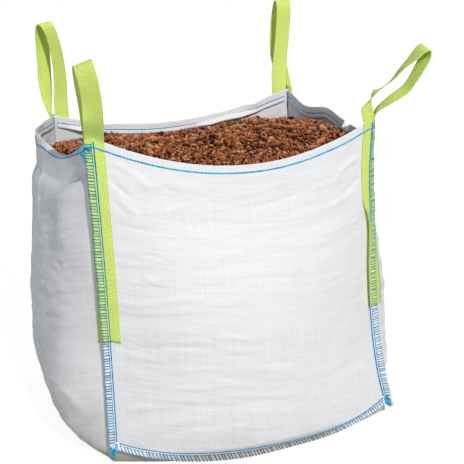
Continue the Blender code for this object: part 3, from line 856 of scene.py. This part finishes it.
def line_tube(points, normals, pitch, wide, high, deep=0.5, sides=5, steps=4):
    """A stitched line, thin where each stitch dips into the cloth."""
    lengths = lengths_along(points)
    count = max(int(round(lengths[-1] / (pitch / steps))), 2)
    along = np.linspace(0, lengths[-1], count + 1)
    thick = deep + (1 - deep) * np.abs(np.sin(np.pi * along / pitch)) ** 0.5
    off = unit(read_off(along, lengths, normals))
    return tube(read_off(along, lengths, points), off, wide * thick, high * thick, sides)


def overlock(place, way, start, end, count, wide, seed):
    """Rungs of thread over a seam's edge, each from one face round to the other."""
    local = np.random.default_rng(seed)
    pitch = (end - start) / count
    share = start + pitch * (np.arange(count) + 0.5 + local.normal(size=count) * 0.16)
    share = share[:, None] + pitch * RUNG_LEAN
    out = np.broadcast_to(RUNG_OUT, share.shape) - 0.05 * local.random(count)[:, None] * (RUNG_OUT < 0.4)
    (one, one_off), (other, other_off) = place(share, out, 1), place(share, out, -1)
    points = np.concatenate([one[:, :4], (one[:, 4:5] + other[:, 4:5]) / 2, other[:, 5:]], 1)
    edge = np.broadcast_to(way(share[:, 4:5]), points[:, 4:5].shape)
    normals = np.concatenate([one_off[:, :4], edge, other_off[:, 5:]], 1)
    wide = wide * (1 + 0.12 * local.normal(size=count)).clip(0.7, 1.3)
    return tube_batch(points + normals * THREAD_LIFT, normals, wide[:, None], RUNG_HIGH)


def seam_threads(place, edge, reach, chain, needle, rungs):
    """Chain stitch and needle lines on both faces of a seam, and the overlock over its fin."""
    share = np.linspace(*reach, 260)
    chains = [line_tube(*place(share, chain[0], side, 0.0005), *chain[1:]) for side in (1, -1)]
    needles = [
        line_tube(*place(share, needle[0], side, 0.0003), *needle[1:], sides=4, steps=3) for side in (1, -1)
    ]
    return chains, [*needles, overlock(place, edge, *rungs)]


def corner_threads(corner):
    walls = {1: "front" if "front" in corner else "back", -1: "left" if "left" in corner else "right"}

    def place(share, out, side, gap=0.0):
        return on_seam(corner, walls[side], share, out, gap)

    def edge(share):
        return fin_way(corner, share)

    rungs = (*CORNER_RUNG_REACH, *CORNER_RUNGS, len(corner))
    return seam_threads(place, edge, CORNER_REACH, CORNER_CHAIN, CORNER_NEEDLE, rungs)


def base_threads(wall):
    """Stitching of the seam along the base, on the face that shows and on the one under it."""
    above = np.array(WALLS[wall][2]) * BASE_FIN_DROP + UP * math.sqrt(1 - BASE_FIN_DROP ** 2)

    def place(along, out, side, gap=0.0):
        along, out = arrays(along, out)
        off = above * side
        point = form(wall, along, 0.0) + base_fin(wall, along) * out[..., None] + off * (SKIN + gap)
        return point, np.broadcast_to(off, point.shape)

    def edge(share):
        return np.broadcast_to(base_fin_way(wall), (*share.shape, 3))

    rungs = (*BASE_REACH, *BASE_RUNGS, 7)
    return seam_threads(place, edge, BASE_REACH, BASE_CHAIN, BASE_NEEDLE, rungs)


def stitch_height(wall, along):
    return 1 - HEM_STITCH / (form(wall, along, 1.0)[..., 2] - SKIN)


def rim_threads(wall):
    """The hem's stitching, outside and inside."""
    lines = []
    faces = ((1, 0.995, SKIN, HEM_OUTSIDE), (-1, 0.975, HEM_FOLD + SKIN, HEM_INSIDE))
    for side, reach, lift, line in faces:
        along = np.linspace(-reach, reach, 400)
        points, normals = surface(wall, along, stitch_height(wall, along))
        points = points + normals * side * (lift + THREAD_LIFT)
        lines.append(line_tube(points, normals * side, *line))
    return lines


def strap_threads(corner):
    """Hem stitching carried over the straps, and the rows that hold a strap laid beside its seam."""
    tubes = []
    for wall, reaches in LEGS[corner]:
        if min(reaches) > 0:
            height = np.linspace(STRAP_FOOT + 0.006, 0.985, 160)
            for column in STRAP_ROWS_AT:
                points, normals = surface(wall, leg_share(corner, wall, min(reaches) + column), height)
                points = points + normals * (STRAP_SKIN + THREAD_LIFT)
                tubes.append(line_tube(points, normals, *STRAP_ROW))
        height = np.full(2, stitch_height(wall, 0.98))
        section = sewn_sections(corner, (wall, reaches), height, STRAP_SKIN + THREAD_LIFT)[0]
        normals = np.broadcast_to(np.array(WALLS[wall][2], float), section.shape)
        tubes.append(line_tube(section, normals, *HEM_OUTSIDE))
    return tubes


def tail(start, way, length, curl, seed):
    """A loose end of thread."""
    local = np.random.default_rng(seed)
    share = np.linspace(0, 1, 14)[:, None]
    way = unit(np.array(way, float))
    sideways = unit(np.cross(way, UP) + 0.01)
    phase = local.random(2) * 6
    points = np.array(start) + way * share * length
    points = points + sideways * curl * np.sin(4.2 * share + phase[0]) * share
    points = points + UP * curl * np.sin(3.1 * share + phase[1]) * share
    return tube(points, np.broadcast_to(sideways + 0.3, points.shape), LOOSE_THREAD, LOOSE_THREAD, 5)


def knot(middle, size, seed, loops):
    """A clump of thread, wound over itself."""
    local = np.random.default_rng(seed)
    tubes = []
    for _ in range(loops):
        turn = np.linspace(0, 2 * np.pi * 0.9, 16)
        a, b = unit(local.normal(size=3)), unit(local.normal(size=3))
        centre = np.array(middle) + local.normal(size=3) * size * 0.35
        points = centre + (np.cos(turn)[:, None] * a + np.sin(turn)[:, None] * b) * size
        off = np.broadcast_to(np.cross(a, b) + 0.01, points.shape)
        tubes.append(tube(points, off, LOOSE_THREAD, LOOSE_THREAD, 5))
    return tubes


def loose_threads():
    """Bunched and loose ends: at the top of each seam and over both front ears."""
    tubes = []
    way = fin_way("front_left", 1.0)
    top = seam_point("front_left", 0.985) + np.array((0.0, -0.006, 0.0))
    for number, (out, drop, size) in enumerate(TOP_KNOTS):
        tubes += knot(top + way * FIN * out - UP * drop, size, 40 + number, 3)
    tubes += [tail(top + way * FIN * 1.1, *values) for values in TOP_TAILS]
    for corner in ("back_left", "back_right", "front_right"):
        out = fin_way(corner, 1.0)
        top = seam_point(corner, 0.992) + out * 0.016
        tubes += knot(top + UP * 0.004, 0.0045, 60 + len(tubes), 3)
        tubes.append(tail(top, out + UP * 1.2, 0.022, 0.004, 70 + len(tubes)))
    local = np.random.default_rng(90)
    for corner, reach in (("front_left", 1.0), ("front_right", 0.45)):
        for _ in range(9):
            out, down = (0.25 + 0.85 * local.random(2)) * (reach, 1.0)
            middle = ear_point(corner, "front", out, down) + np.array((0, -0.002, 0.002))
            tubes += knot(middle, 0.004 + 0.0025 * local.random(), 100 + len(tubes), 3)
        tip, way = ear_point(corner, "front", reach, 1.0), fin_way(corner, 0.0)
        tubes.append(tail(tip, way + UP * 0.2, 0.016, 0.004, 95))
        tubes.append(tail(tip, way * 0.5 + np.array((0, -0.9, 0.1)), 0.018, 0.004, 96))
    return tubes


# Soil

def soil_level(x, y):
    mound = 0.018 * np.exp(-((x - 0.2) ** 2 + (y - 0.08) ** 2) / 0.055)
    slope = 0.775 + 0.024 * ease((y + 0.42) / 0.5)
    slope = slope - 0.009 * ease((0.16 - x) / 0.35) * ease(y / 0.35)
    slope = slope - 0.02 * bell(x - 0.03, 0.15) * ease(y / 0.3)
    waves = 0.005 * np.sin(23 * x + 1.3) * np.sin(19 * y + 0.4) + 0.003 * np.sin(47 * x - 31 * y)
    return slope + mound + waves


# Crumbs: how many, their size and its spread, their facets' fineness, how high they lie as a share of their
# size and how far that varies in metres, how far they stray from their cell, and the seed
CRUMBS = {
    "large": (620, 0.0088, 0.24, 2, 0.15, 0.003, 1.6, 1),
    "middle": (8100, 0.0052, 0.22, 1, -0.1, 0.0036, 1.0, 2),
    "fine": (4200, 0.0032, 0.25, 1, 0.3, 0.0035, 1.5, 3),
}
# The heap under the crumbs has a near-black tone: painted shade for the gaps between crumbs
HEAP_SHADE_TONE = 0.02
HEAP_POINTS = 132
SOIL_INSET = 0.982
SOIL_TOP_INSET = 0.986
SOIL_CLEAR = 0.0015
CRUMB_SHAPES = 24
SOIL_SHARES = (0.0, 0.05, 0.11, 0.18, 0.26, 0.35, 0.44, 0.52, 0.62, 0.72, 0.8)


def soil_edges(count):
    """The four upper edges of the soil, where its top meets the walls, and the rows of its sides below."""
    along = np.linspace(-1, 1, count)
    edges, sides = {}, {}
    for wall in WALLS:
        top = form(wall, along, 0.9)
        level = soil_level(top[:, 0], top[:, 1])
        low, high = np.full(count, 0.5), np.full(count, 1.0)
        for _ in range(18):
            middle = (low + high) / 2
            under = drawn_form(wall, along, middle)[:, 2] < level
            low, high = np.where(under, middle, low), np.where(under, high, middle)
        rows = [drawn_form(wall, along, np.full(count, share)) for share in SOIL_SHARES]
        rows.append(drawn_form(wall, along, low))
        inset = [SOIL_INSET] * len(SOIL_SHARES) + [SOIL_TOP_INSET]
        rows = [row * (share, share, 1) + UP * SOIL_CLEAR for row, share in zip(rows, inset)]
        edges[wall], sides[wall] = rows[-1], rows
    return edges, sides


def soil_top(edges, u, v):
    """A point on the soil's top, from 0 to 1 across and along."""
    shares = np.linspace(0, 1, len(edges["front"]))
    front, back = (read_off(u, shares, edges[wall]) for wall in ("front", "back"))
    left, right = (read_off(v, shares, edges[wall]) for wall in ("left", "right"))
    near, far = (mix(edges["front"][end], edges["back"][end], v) for end in (0, -1))
    return mix(front, back, v) + mix(left, right, u) - mix(near, far, u)


def add_soil_body(material):
    count = HEAP_POINTS
    edges, sides = soil_edges(count)
    share = np.linspace(0, 1, count)
    v, u = np.meshgrid(share, share, indexing="ij")
    top = soil_top(edges, u, v)
    x, y = top[..., 0], top[..., 1]
    inside = np.minimum(np.minimum(u, 1 - u), np.minimum(v, 1 - v))
    grit = 0.0035 * noise(x * 70, y * 70, 1) + 0.0022 * noise(x * 160, y * 160, 2)
    top[..., 2] = np.where(inside > 0, soil_level(x, y) + grit - 0.01, top[..., 2])
    centre = count * count
    points = [*top.reshape(-1, 3), (0, 0, 0.006)]
    faces = grid_faces(np.ones(top.shape[:2], bool)).tolist()
    for rows in sides.values():
        start = len(points)
        points += [point for row in rows for point in row]
        faces += (grid_faces(np.ones((len(rows), count), bool)) + start).tolist()
        faces += [(centre, corner, corner + 1) for corner in range(start, start + count - 1)]
    # The heap's near-black tone is painted shade in the gaps between crumbs
    made = add_mesh("soil_heap", points, faces, material, tones_and_shade=np.full(len(points), HEAP_SHADE_TONE))
    merge_points(made.data, 0.0004, turn_outward=True)
    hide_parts("soil_fill")
    return made, edges


def crumb_shapes(detail, count, local):
    """Angular lumps to scatter, all with the same faces."""
    mesh = bmesh.new()
    bmesh.ops.create_icosphere(mesh, subdivisions=detail, radius=1.0)
    base = np.array([vertex.co[:] for vertex in mesh.verts])
    faces = np.array([[vertex.index for vertex in face.verts] for face in mesh.faces])
    mesh.free()

    def bump():
        return local.normal() * 0.16 * np.sin(base @ local.normal(size=3) * 2.6 + local.random() * 6)

    shapes = []
    for _ in range(count):
        chipped = 1 + sum(bump() for _ in range(4))
        chipped = chipped + local.normal(size=len(base)) * (0.1 if detail > 1 else 0.14)
        shapes.append(base * chipped[:, None])
    return np.array(shapes), faces


def rotations(count, local):
    turns = unit(local.normal(size=(count, 4)))
    w, way = turns[:, 0, None, None], turns[:, 1:]
    across = np.cross(np.eye(3), way[:, None])
    return (2 * w * w - 1) * np.eye(3) + 2 * way[:, :, None] * way[:, None] + 2 * w * across


def add_crumbs(name, edges, material, count, size, spread_of_size, detail, lift, rise, jitter, seed):
    """Scatters crumbs over the soil's top, with painted shade and light: darker where they lie low and
    towards their feet, lighter towards their tops.
    """
    local = np.random.default_rng(seed)
    shapes, faces = crumb_shapes(detail, CRUMB_SHAPES, local)
    side = int(math.sqrt(count))
    count = side * side
    cell = np.stack(np.meshgrid(np.arange(side), np.arange(side))).reshape(2, -1) + 0.5
    u, v = ((cell + jitter * (local.random((2, count)) - 0.5)) / side).clip(0, 1)
    size = size * np.exp(local.normal(size=count) * spread_of_size)
    margin = (1.3 * size + 0.0045) / 0.85
    u, v = margin + (1 - 2 * margin) * u, margin + (1 - 2 * margin) * v
    place = soil_top(edges, u, v)
    rise = rise * local.normal(size=count).clip(-1.8, 1.8)
    place[:, 2] = soil_level(place[:, 0], place[:, 1]) + lift * size + rise
    scale = size[:, None] * (1 + local.normal(size=(count, 3)) * 0.22).clip(0.5, 1.5)
    points = shapes[local.integers(len(shapes), size=count)] * scale[:, None]
    points = np.einsum("nij,nkj->nki", rotations(count, local), points)
    height = points[..., 2] / size[:, None]
    points = points + place[:, None]
    faces = (faces[None] + (np.arange(count) * shapes.shape[1])[:, None, None]).reshape(-1, 3)
    # Painted shade and light: crumbs that lie lower are darker, and each crumb darkens towards its foot and
    # lightens towards its top; the rest of the tone varies at random
    tone_and_shade = 0.23 + 0.12 * local.normal(size=count) + 45 * rise - 0.4 * (local.random(count) < 0.15)
    tones_and_shade = (tone_and_shade[:, None] + 0.52 * height).clip(0, 1).ravel()
    made = add_mesh(name, points.reshape(-1, 3), faces.tolist(), material, smooth=False, tones_and_shade=tones_and_shade)


# Materials

# Widths of the fabric's tapes, and of the webbing's cords and picks
TAPE = 0.0027
CORD = 0.0038
PICK = 0.005
# Soil colours along the tone: the near-black low end gives the painted shade of the gaps and crumb feet,
# the pale high end mostly the painted light on crumb tops
SOIL_TONES = (
    (0.0, (0.006, 0.003, 0.002, 1)), (0.24, (0.05, 0.014, 0.006, 1)), (0.46, (0.24, 0.07, 0.024, 1)),
    (0.76, (0.39, 0.128, 0.05, 1)), (1.0, (0.68, 0.34, 0.17, 1)),
)


class Value:
    """A node's output, whose sums and products are nodes too."""

    def __init__(self, nodes, socket):
        self.nodes, self.socket = nodes, socket

    def math(self, operation, other=0.0):
        return self.nodes.add("Math", {0: self, 1: other}, operation=operation)

    def __add__(self, other):
        return self.math("ADD", other)

    def __sub__(self, other):
        return self.math("SUBTRACT", other)

    def __mul__(self, other):
        return self.math("MULTIPLY", other)

    def most(self, other):
        return self.math("MAXIMUM", other)

    def sine(self):
        return self.math("SINE")

    def ramp(self, low, high, from_value=0.0, to_value=1.0):
        inputs = {0: self, 1: low, 2: high, 3: from_value, 4: to_value}
        return self.nodes.add("MapRange", inputs, interpolation_type="SMOOTHSTEP")

    def noise(self, scale, detail=2.0, roughness=0.5):
        inputs = {"Vector": self, "Scale": scale, "Detail": detail, "Roughness": roughness}
        return self.nodes.add("TexNoise", inputs)

    def stretched(self, x, y):
        return self.nodes.add("Mapping", {0: self, 3: (x, y, 1.0)})


class Nodes:
    """Short calls for building the nodes of a material or a world."""

    def __init__(self, owner):
        owner.use_nodes = True
        self.owner, self.tree = owner, owner.node_tree

    def node(self, kind, inputs=None, **values):
        made = self.tree.nodes.new("ShaderNode" + kind)
        for key, value in values.items():
            setattr(made, key, value)
        for key, value in (inputs or {}).items():
            self.set(made.inputs[key], value)
        return made

    def add(self, kind, inputs=None, output=0, **values):
        return Value(self, self.node(kind, inputs, **values).outputs[output])

    def set(self, socket, value):
        if isinstance(value, Value):
            self.tree.links.new(value.socket, socket)
        else:
            socket.default_value = value

    def cloth(self):
        return self.add("UVMap", uv_map="cloth")

    def place(self):
        return self.add("TexCoord", output="Object")

    def parts(self, vector):
        return [Value(self, socket) for socket in self.node("SeparateXYZ", {0: vector}).outputs]

    def colour(self, share, a, b):
        return self.add("Mix", {0: share, 6: a, 7: b}, 2, data_type="RGBA")

    def bump(self, strength, distance, height, **inputs):
        return self.add("Bump", {"Strength": strength, "Distance": distance, "Height": height, **inputs})

    def seen_by(self, *rays):
        """1 for rays of the named kinds."""
        path = self.node("LightPath").outputs
        first, *others = (Value(self, path["Is " + ray + " Ray"]) for ray in rays)
        for other in others:
            first = first.most(other)
        return first

    def finish(self, **values):
        for key, value in values.items():
            self.set(self.tree.nodes["Principled BSDF"].inputs[key.replace("_", " ")], value)
        return self.owner


def new_material(name):
    return Nodes(bpy.data.materials.new(name))


def fabric_material():
    """White woven tape fabric, dusty towards the ground."""
    n = new_material("woven_white_fabric")
    uv, at = n.cloth(), n.place()
    (u, v, _), (x, _, z) = n.parts(uv), n.parts(at)
    across, up = u * (math.pi / TAPE), v * (math.pi / TAPE)
    weave = across.sine() * up.sine()
    gaps = [line.math("COSINE").math("ABSOLUTE").ramp(0.93, 1.0) for line in (across, up)]
    gap = gaps[0].most(gaps[1])
    tapes = uv.stretched(420.0, 5.0).noise(1.0, 1.0) + uv.stretched(5.0, 420.0).noise(1.0, 1.0)
    dust = z.ramp(0.15, 0.0) * at.noise(16.0, 5.0, 0.65).ramp(0.28, 0.75, 0.15, 1.0)
    under = z.ramp(0.05, 0.022) * x.ramp(0.36, 0.12, 0.2, 1.0)
    beside = x.ramp(-0.4, -0.47) * z.ramp(0.28, 0.03)
    beside = beside * at.noise(11.0, 5.0, 0.65).ramp(0.3, 0.62, 0.25, 1.0)
    dust = (dust * 0.3).most(under * 0.85).most(beside * 0.6)
    flecks = at.noise(95.0, 2.0).ramp(0.68, 0.76) * z.ramp(0.45, 0.02)
    colour = n.colour(tapes.ramp(0.7, 1.3), (0.8, 0.8, 0.815, 1), (0.87, 0.87, 0.885, 1))
    colour = n.colour(at.noise(7.0, 3.0).ramp(0.35, 0.7, 0.0, 0.1), colour, (0.74, 0.74, 0.75, 1))
    colour = n.colour(gap * 0.1, colour, (0.45, 0.45, 0.46, 1))
    colour = n.colour(dust, colour, (0.37, 0.32, 0.25, 1))
    colour = n.colour(flecks * 0.35, colour, (0.3, 0.22, 0.15, 1))
    fine = n.bump(0.3, 0.0004, weave * 0.5 + gap * -0.6 + tapes * 0.8)
    bump = n.bump(0.55, 0.0026, uv.stretched(26.0, 90.0).noise(1.0, 3.0, 0.55), Normal=fine)
    rough = at.noise(40.0, 3.0).ramp(0.3, 0.7, 0.5, 0.62)
    return n.finish(Base_Color=colour, Roughness=rough, Normal=bump, Specular_IOR_Level=0.42)


def webbing_material():
    """Lime webbing: cords along it, crossed by picks in a broken twill, with painted light on the cords'
    ridges and the picks' crests.
    """
    n = new_material("lime_ribbed_webbing")
    uv = n.cloth()
    u, v, _ = n.parts(uv)
    cords = (u * (2 * math.pi / CORD) * 0.5).sine()
    picks = (v * (2 * math.pi / PICK) + cords * 1.6).sine()
    ribs = cords.math("ABSOLUTE")
    specks = uv.stretched(330.0, 220.0).noise(1.0, 2.0, 0.6)
    # Painted light: the cords' ridges and the picks' crests are lighter; the specks add mottling
    light = picks * 0.22 + ribs * 0.35 + specks.ramp(0.3, 0.7, -0.15, 0.45)
    colour = n.colour(light.ramp(-0.1, 0.75), (0.47, 0.64, 0.05, 1), (0.8, 0.93, 0.27, 1))
    colour = n.colour(n.place().noise(22.0, 2.0).ramp(0.4, 0.7, 0.0, 0.25), colour, (0.68, 0.84, 0.17, 1))
    colour = n.colour(specks.ramp(0.6, 0.74) * 0.45, colour, (0.86, 0.93, 0.56, 1))
    bump = n.bump(0.55, 0.0007, ribs * 0.7 + picks * 0.35)
    n.finish(Base_Color=colour, Roughness=0.62, Normal=bump, Sheen_Weight=0.15, Specular_IOR_Level=0.35)
    return n.owner


def thread_material(name, deep, bright, shade_and_soil=None):
    """Twisted thread, darker to the right with painted shade and soiling where it runs under the bag."""
    n = new_material(name)
    at = n.place()
    colour = n.colour(at.noise(75.0, 2.0).ramp(0.32, 0.66), deep, bright)
    if shade_and_soil:
        # Painted shade with soiling: a dark band towards the right, along the base fin
        shade_and_soil_band = n.parts(at)[0] + at.noise(30.0, 2.0) * 0.12
        colour = n.colour(shade_and_soil_band.ramp(-0.3, -0.1, 0.0, 0.85) * shade_and_soil_band.ramp(0.38, 0.18), colour, shade_and_soil)
    twist = n.add("TexWave", {"Vector": at, "Scale": 260.0, "Distortion": 2.0})
    bump = n.bump(0.35, 0.0004, twist)
    return n.finish(Base_Color=colour, Roughness=0.55, Normal=bump, Specular_IOR_Level=0.3)


def soil_material():
    """Red-brown crumbs, each with its own tone, with pale fibres; the tone also carries painted shade, dark
    in the gaps and at the crumbs' feet, and painted light on their tops.
    """
    n = new_material("red_brown_crumbs")
    at = n.place()
    # The tone attribute holds random tone together with painted shade and light
    tone_and_shade = n.add("Attribute", output="Fac", attribute_name="tone_and_shade")
    grain = at.noise(260.0, 3.0, 0.65)
    share = tone_and_shade + (grain - 0.5) * 0.9 + (at.noise(45.0, 2.0) - 0.5) * 0.5
    ramp = n.node("ValToRGB", {0: share})
    for element, (position, value) in zip(ramp.color_ramp.elements, (SOIL_TONES[0], SOIL_TONES[-1])):
        element.position, element.color = position, value
    for position, value in SOIL_TONES[1:-1]:
        ramp.color_ramp.elements.new(position).color = value
    bump = n.bump(0.6, 0.0012, grain)
    colour = Value(n, ramp.outputs[0])
    return n.finish(Base_Color=colour, Roughness=0.88, Normal=bump, Specular_IOR_Level=0.25)


def floor_material():
    """A pale floor that the camera sees as white, with the object's shadow kept."""
    n = new_material("pale_floor")
    n.finish(Base_Color=FLOOR_GREY, Roughness=0.9, Specular_IOR_Level=0.0)
    glow = n.add("Emission", {"Color": WHITE, "Strength": FLOOR_GLOW})
    plain = Value(n, n.tree.nodes["Principled BSDF"].outputs[0])
    seen = n.seen_by("Camera", "Glossy", "Transmission") * FLOOR_GLOW_SHARE
    n.set(n.tree.nodes["Material Output"].inputs[0], n.add("MixShader", {0: seen, 1: plain, 2: glow}))
    return n.owner


# The studio

# The camera, with its focal length, shifts and picture in pixels, and its angles in degrees: azimuth,
# elevation and roll
CAMERA_ANGLES = (-14.7, 15.5, -3.1)
CAMERA_AIM = (0, 0, 0.462)
CAMERA_DISTANCE = 3.0
SENSOR = 36.0
PICTURE = 464
FOCAL_LENGTH = 935
PICTURE_SHIFT = (22, 17.8)
SKY = (0.8, 0.9, 1.0, 1)
SKY_STRENGTH = 0.25
WHITE = (1, 1, 1, 1)
FLOOR_HALF = 60
FLOOR_DROP = 0.0002
FLOOR_GREY = (0.47, 0.47, 0.47, 1)
FLOOR_GLOW = 1.8
FLOOR_GLOW_SHARE = 0.5

# The suns: azimuth and elevation in degrees, strength, width in degrees and colour
SUNS = (
    ("key", 9, 38, 2.42, 2.0, (1.0, 0.985, 0.96)),
    ("fill", -35, 25, 0.4, 15.0, (1.0, 1.0, 1.0)),
    ("back", 135, 30, 0.75, 20.0, (1.0, 1.0, 1.0)),
)


def turned(azimuth, elevation, roll=0.0):
    """How a thing stands that looks in from a way in plan, from the front to the right, and a height."""
    turn = Matrix.Rotation(math.radians(azimuth), 4, "Z")
    tilt = Matrix.Rotation(math.radians(90 - elevation), 4, "X")
    return turn @ tilt @ Matrix.Rotation(math.radians(roll), 4, "Z")


def add_camera():
    """A view from the front, a little to the left and above, as fitted to the photograph."""
    data = bpy.data.cameras.new("camera")
    data.sensor_fit = "HORIZONTAL"
    data.sensor_width = SENSOR
    data.lens = SENSOR * FOCAL_LENGTH / PICTURE
    data.shift_x, data.shift_y = (shift / PICTURE for shift in PICTURE_SHIFT)
    data.clip_end = 200
    made = link("camera", data)
    back = Matrix.Translation((0, 0, CAMERA_DISTANCE))
    made.matrix_world = Matrix.Translation(CAMERA_AIM) @ turned(*CAMERA_ANGLES) @ back
    bpy.context.scene.camera = made


def add_sun(name, azimuth, elevation, strength, angle, colour):
    data = bpy.data.lights.new(name, "SUN")
    data.energy = strength
    data.angle = math.radians(angle)
    data.color = colour
    link(name, data).matrix_world = turned(azimuth, elevation)


def add_studio():
    scene = bpy.context.scene
    scene.view_settings.view_transform = "Standard"
    mesh = bpy.data.meshes.new("floor")
    half = FLOOR_HALF
    corners = [(-half, -half, 0), (half, -half, 0), (half, half, 0), (-half, half, 0)]
    mesh.from_pydata(corners, [], [(0, 1, 2, 3)])
    mesh.materials.append(floor_material())
    floor = link("floor", mesh)
    floor.location.z = -FLOOR_DROP
    scene.world = bpy.data.worlds.new("studio")
    n = Nodes(scene.world)
    n.tree.nodes.clear()
    soft = n.add("Background", {0: SKY, 1: SKY_STRENGTH})
    white = n.add("Background", {0: WHITE, 1: 1.0})
    light = n.add("MixShader", {0: n.seen_by("Camera", "Transmission"), 1: soft, 2: white})
    n.node("OutputWorld", {0: light})
    for sun in SUNS:
        add_sun(*sun)


def main():
    fabric, webbing, soil = fabric_material(), webbing_material(), soil_material()
    mid_blues = (0.005, 0.19, 0.38, 1), (0.022, 0.37, 0.6, 1)
    chain_blue = thread_material("deep_blue_thread", (0.003, 0.17, 0.4, 1), (0.012, 0.31, 0.58, 1))
    lock_blue = thread_material("mid_blue_thread", *mid_blues)
    rim_blue = thread_material("sky_blue_thread", (0.012, 0.3, 0.56, 1), (0.06, 0.52, 0.82, 1))
    # The base overlock's dark colour is painted shade with soiling, to the right under the bag
    shaded_soiled_blue = thread_material("shaded_soiled_blue_thread", *mid_blues, (0.004, 0.07, 0.12, 1))

    front = end_panel("front", "front_fabric", fabric, columns=110, tall=225)
    back = end_panel("back", "back_fabric", fabric, columns=90, tall=140)
    sides = side_base_panel("side_base_fabric", fabric, columns=84, tall=180, long=30)
    for piece, node in ((front, "front_panel"), (back, "back_panel"), (sides, "side_base_panel")):
        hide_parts(node)

    loops = {corner: add_loop(corner, webbing) for corner in CORNERS}

    heap, edges = add_soil_body(soil)
    for name, values in CRUMBS.items():
        add_crumbs("soil_crumbs_" + name, edges, soil, *values)

    for place, (chain, lock) in [
        *((corner, corner_threads(corner)) for corner in CORNERS),
        *(("base_" + wall, base_threads(wall)) for wall in ("front", "back")),
    ]:
        add_tubes("chain_stitch_" + place, chain, chain_blue)
        add_tubes("overlock_" + place, lock, shaded_soiled_blue if "base" in place else lock_blue)
    rim = [one for wall in WALLS for one in rim_threads(wall)]
    rim += [one for corner in CORNERS for one in strap_threads(corner)]
    add_tubes("rim_stitching", rim, rim_blue)
    add_tubes("loose_threads", loose_threads(), rim_blue)

    for corner, (piece, length) in loops.items():
        end = front if "front" in corner else back


add_studio()
add_camera()
main()
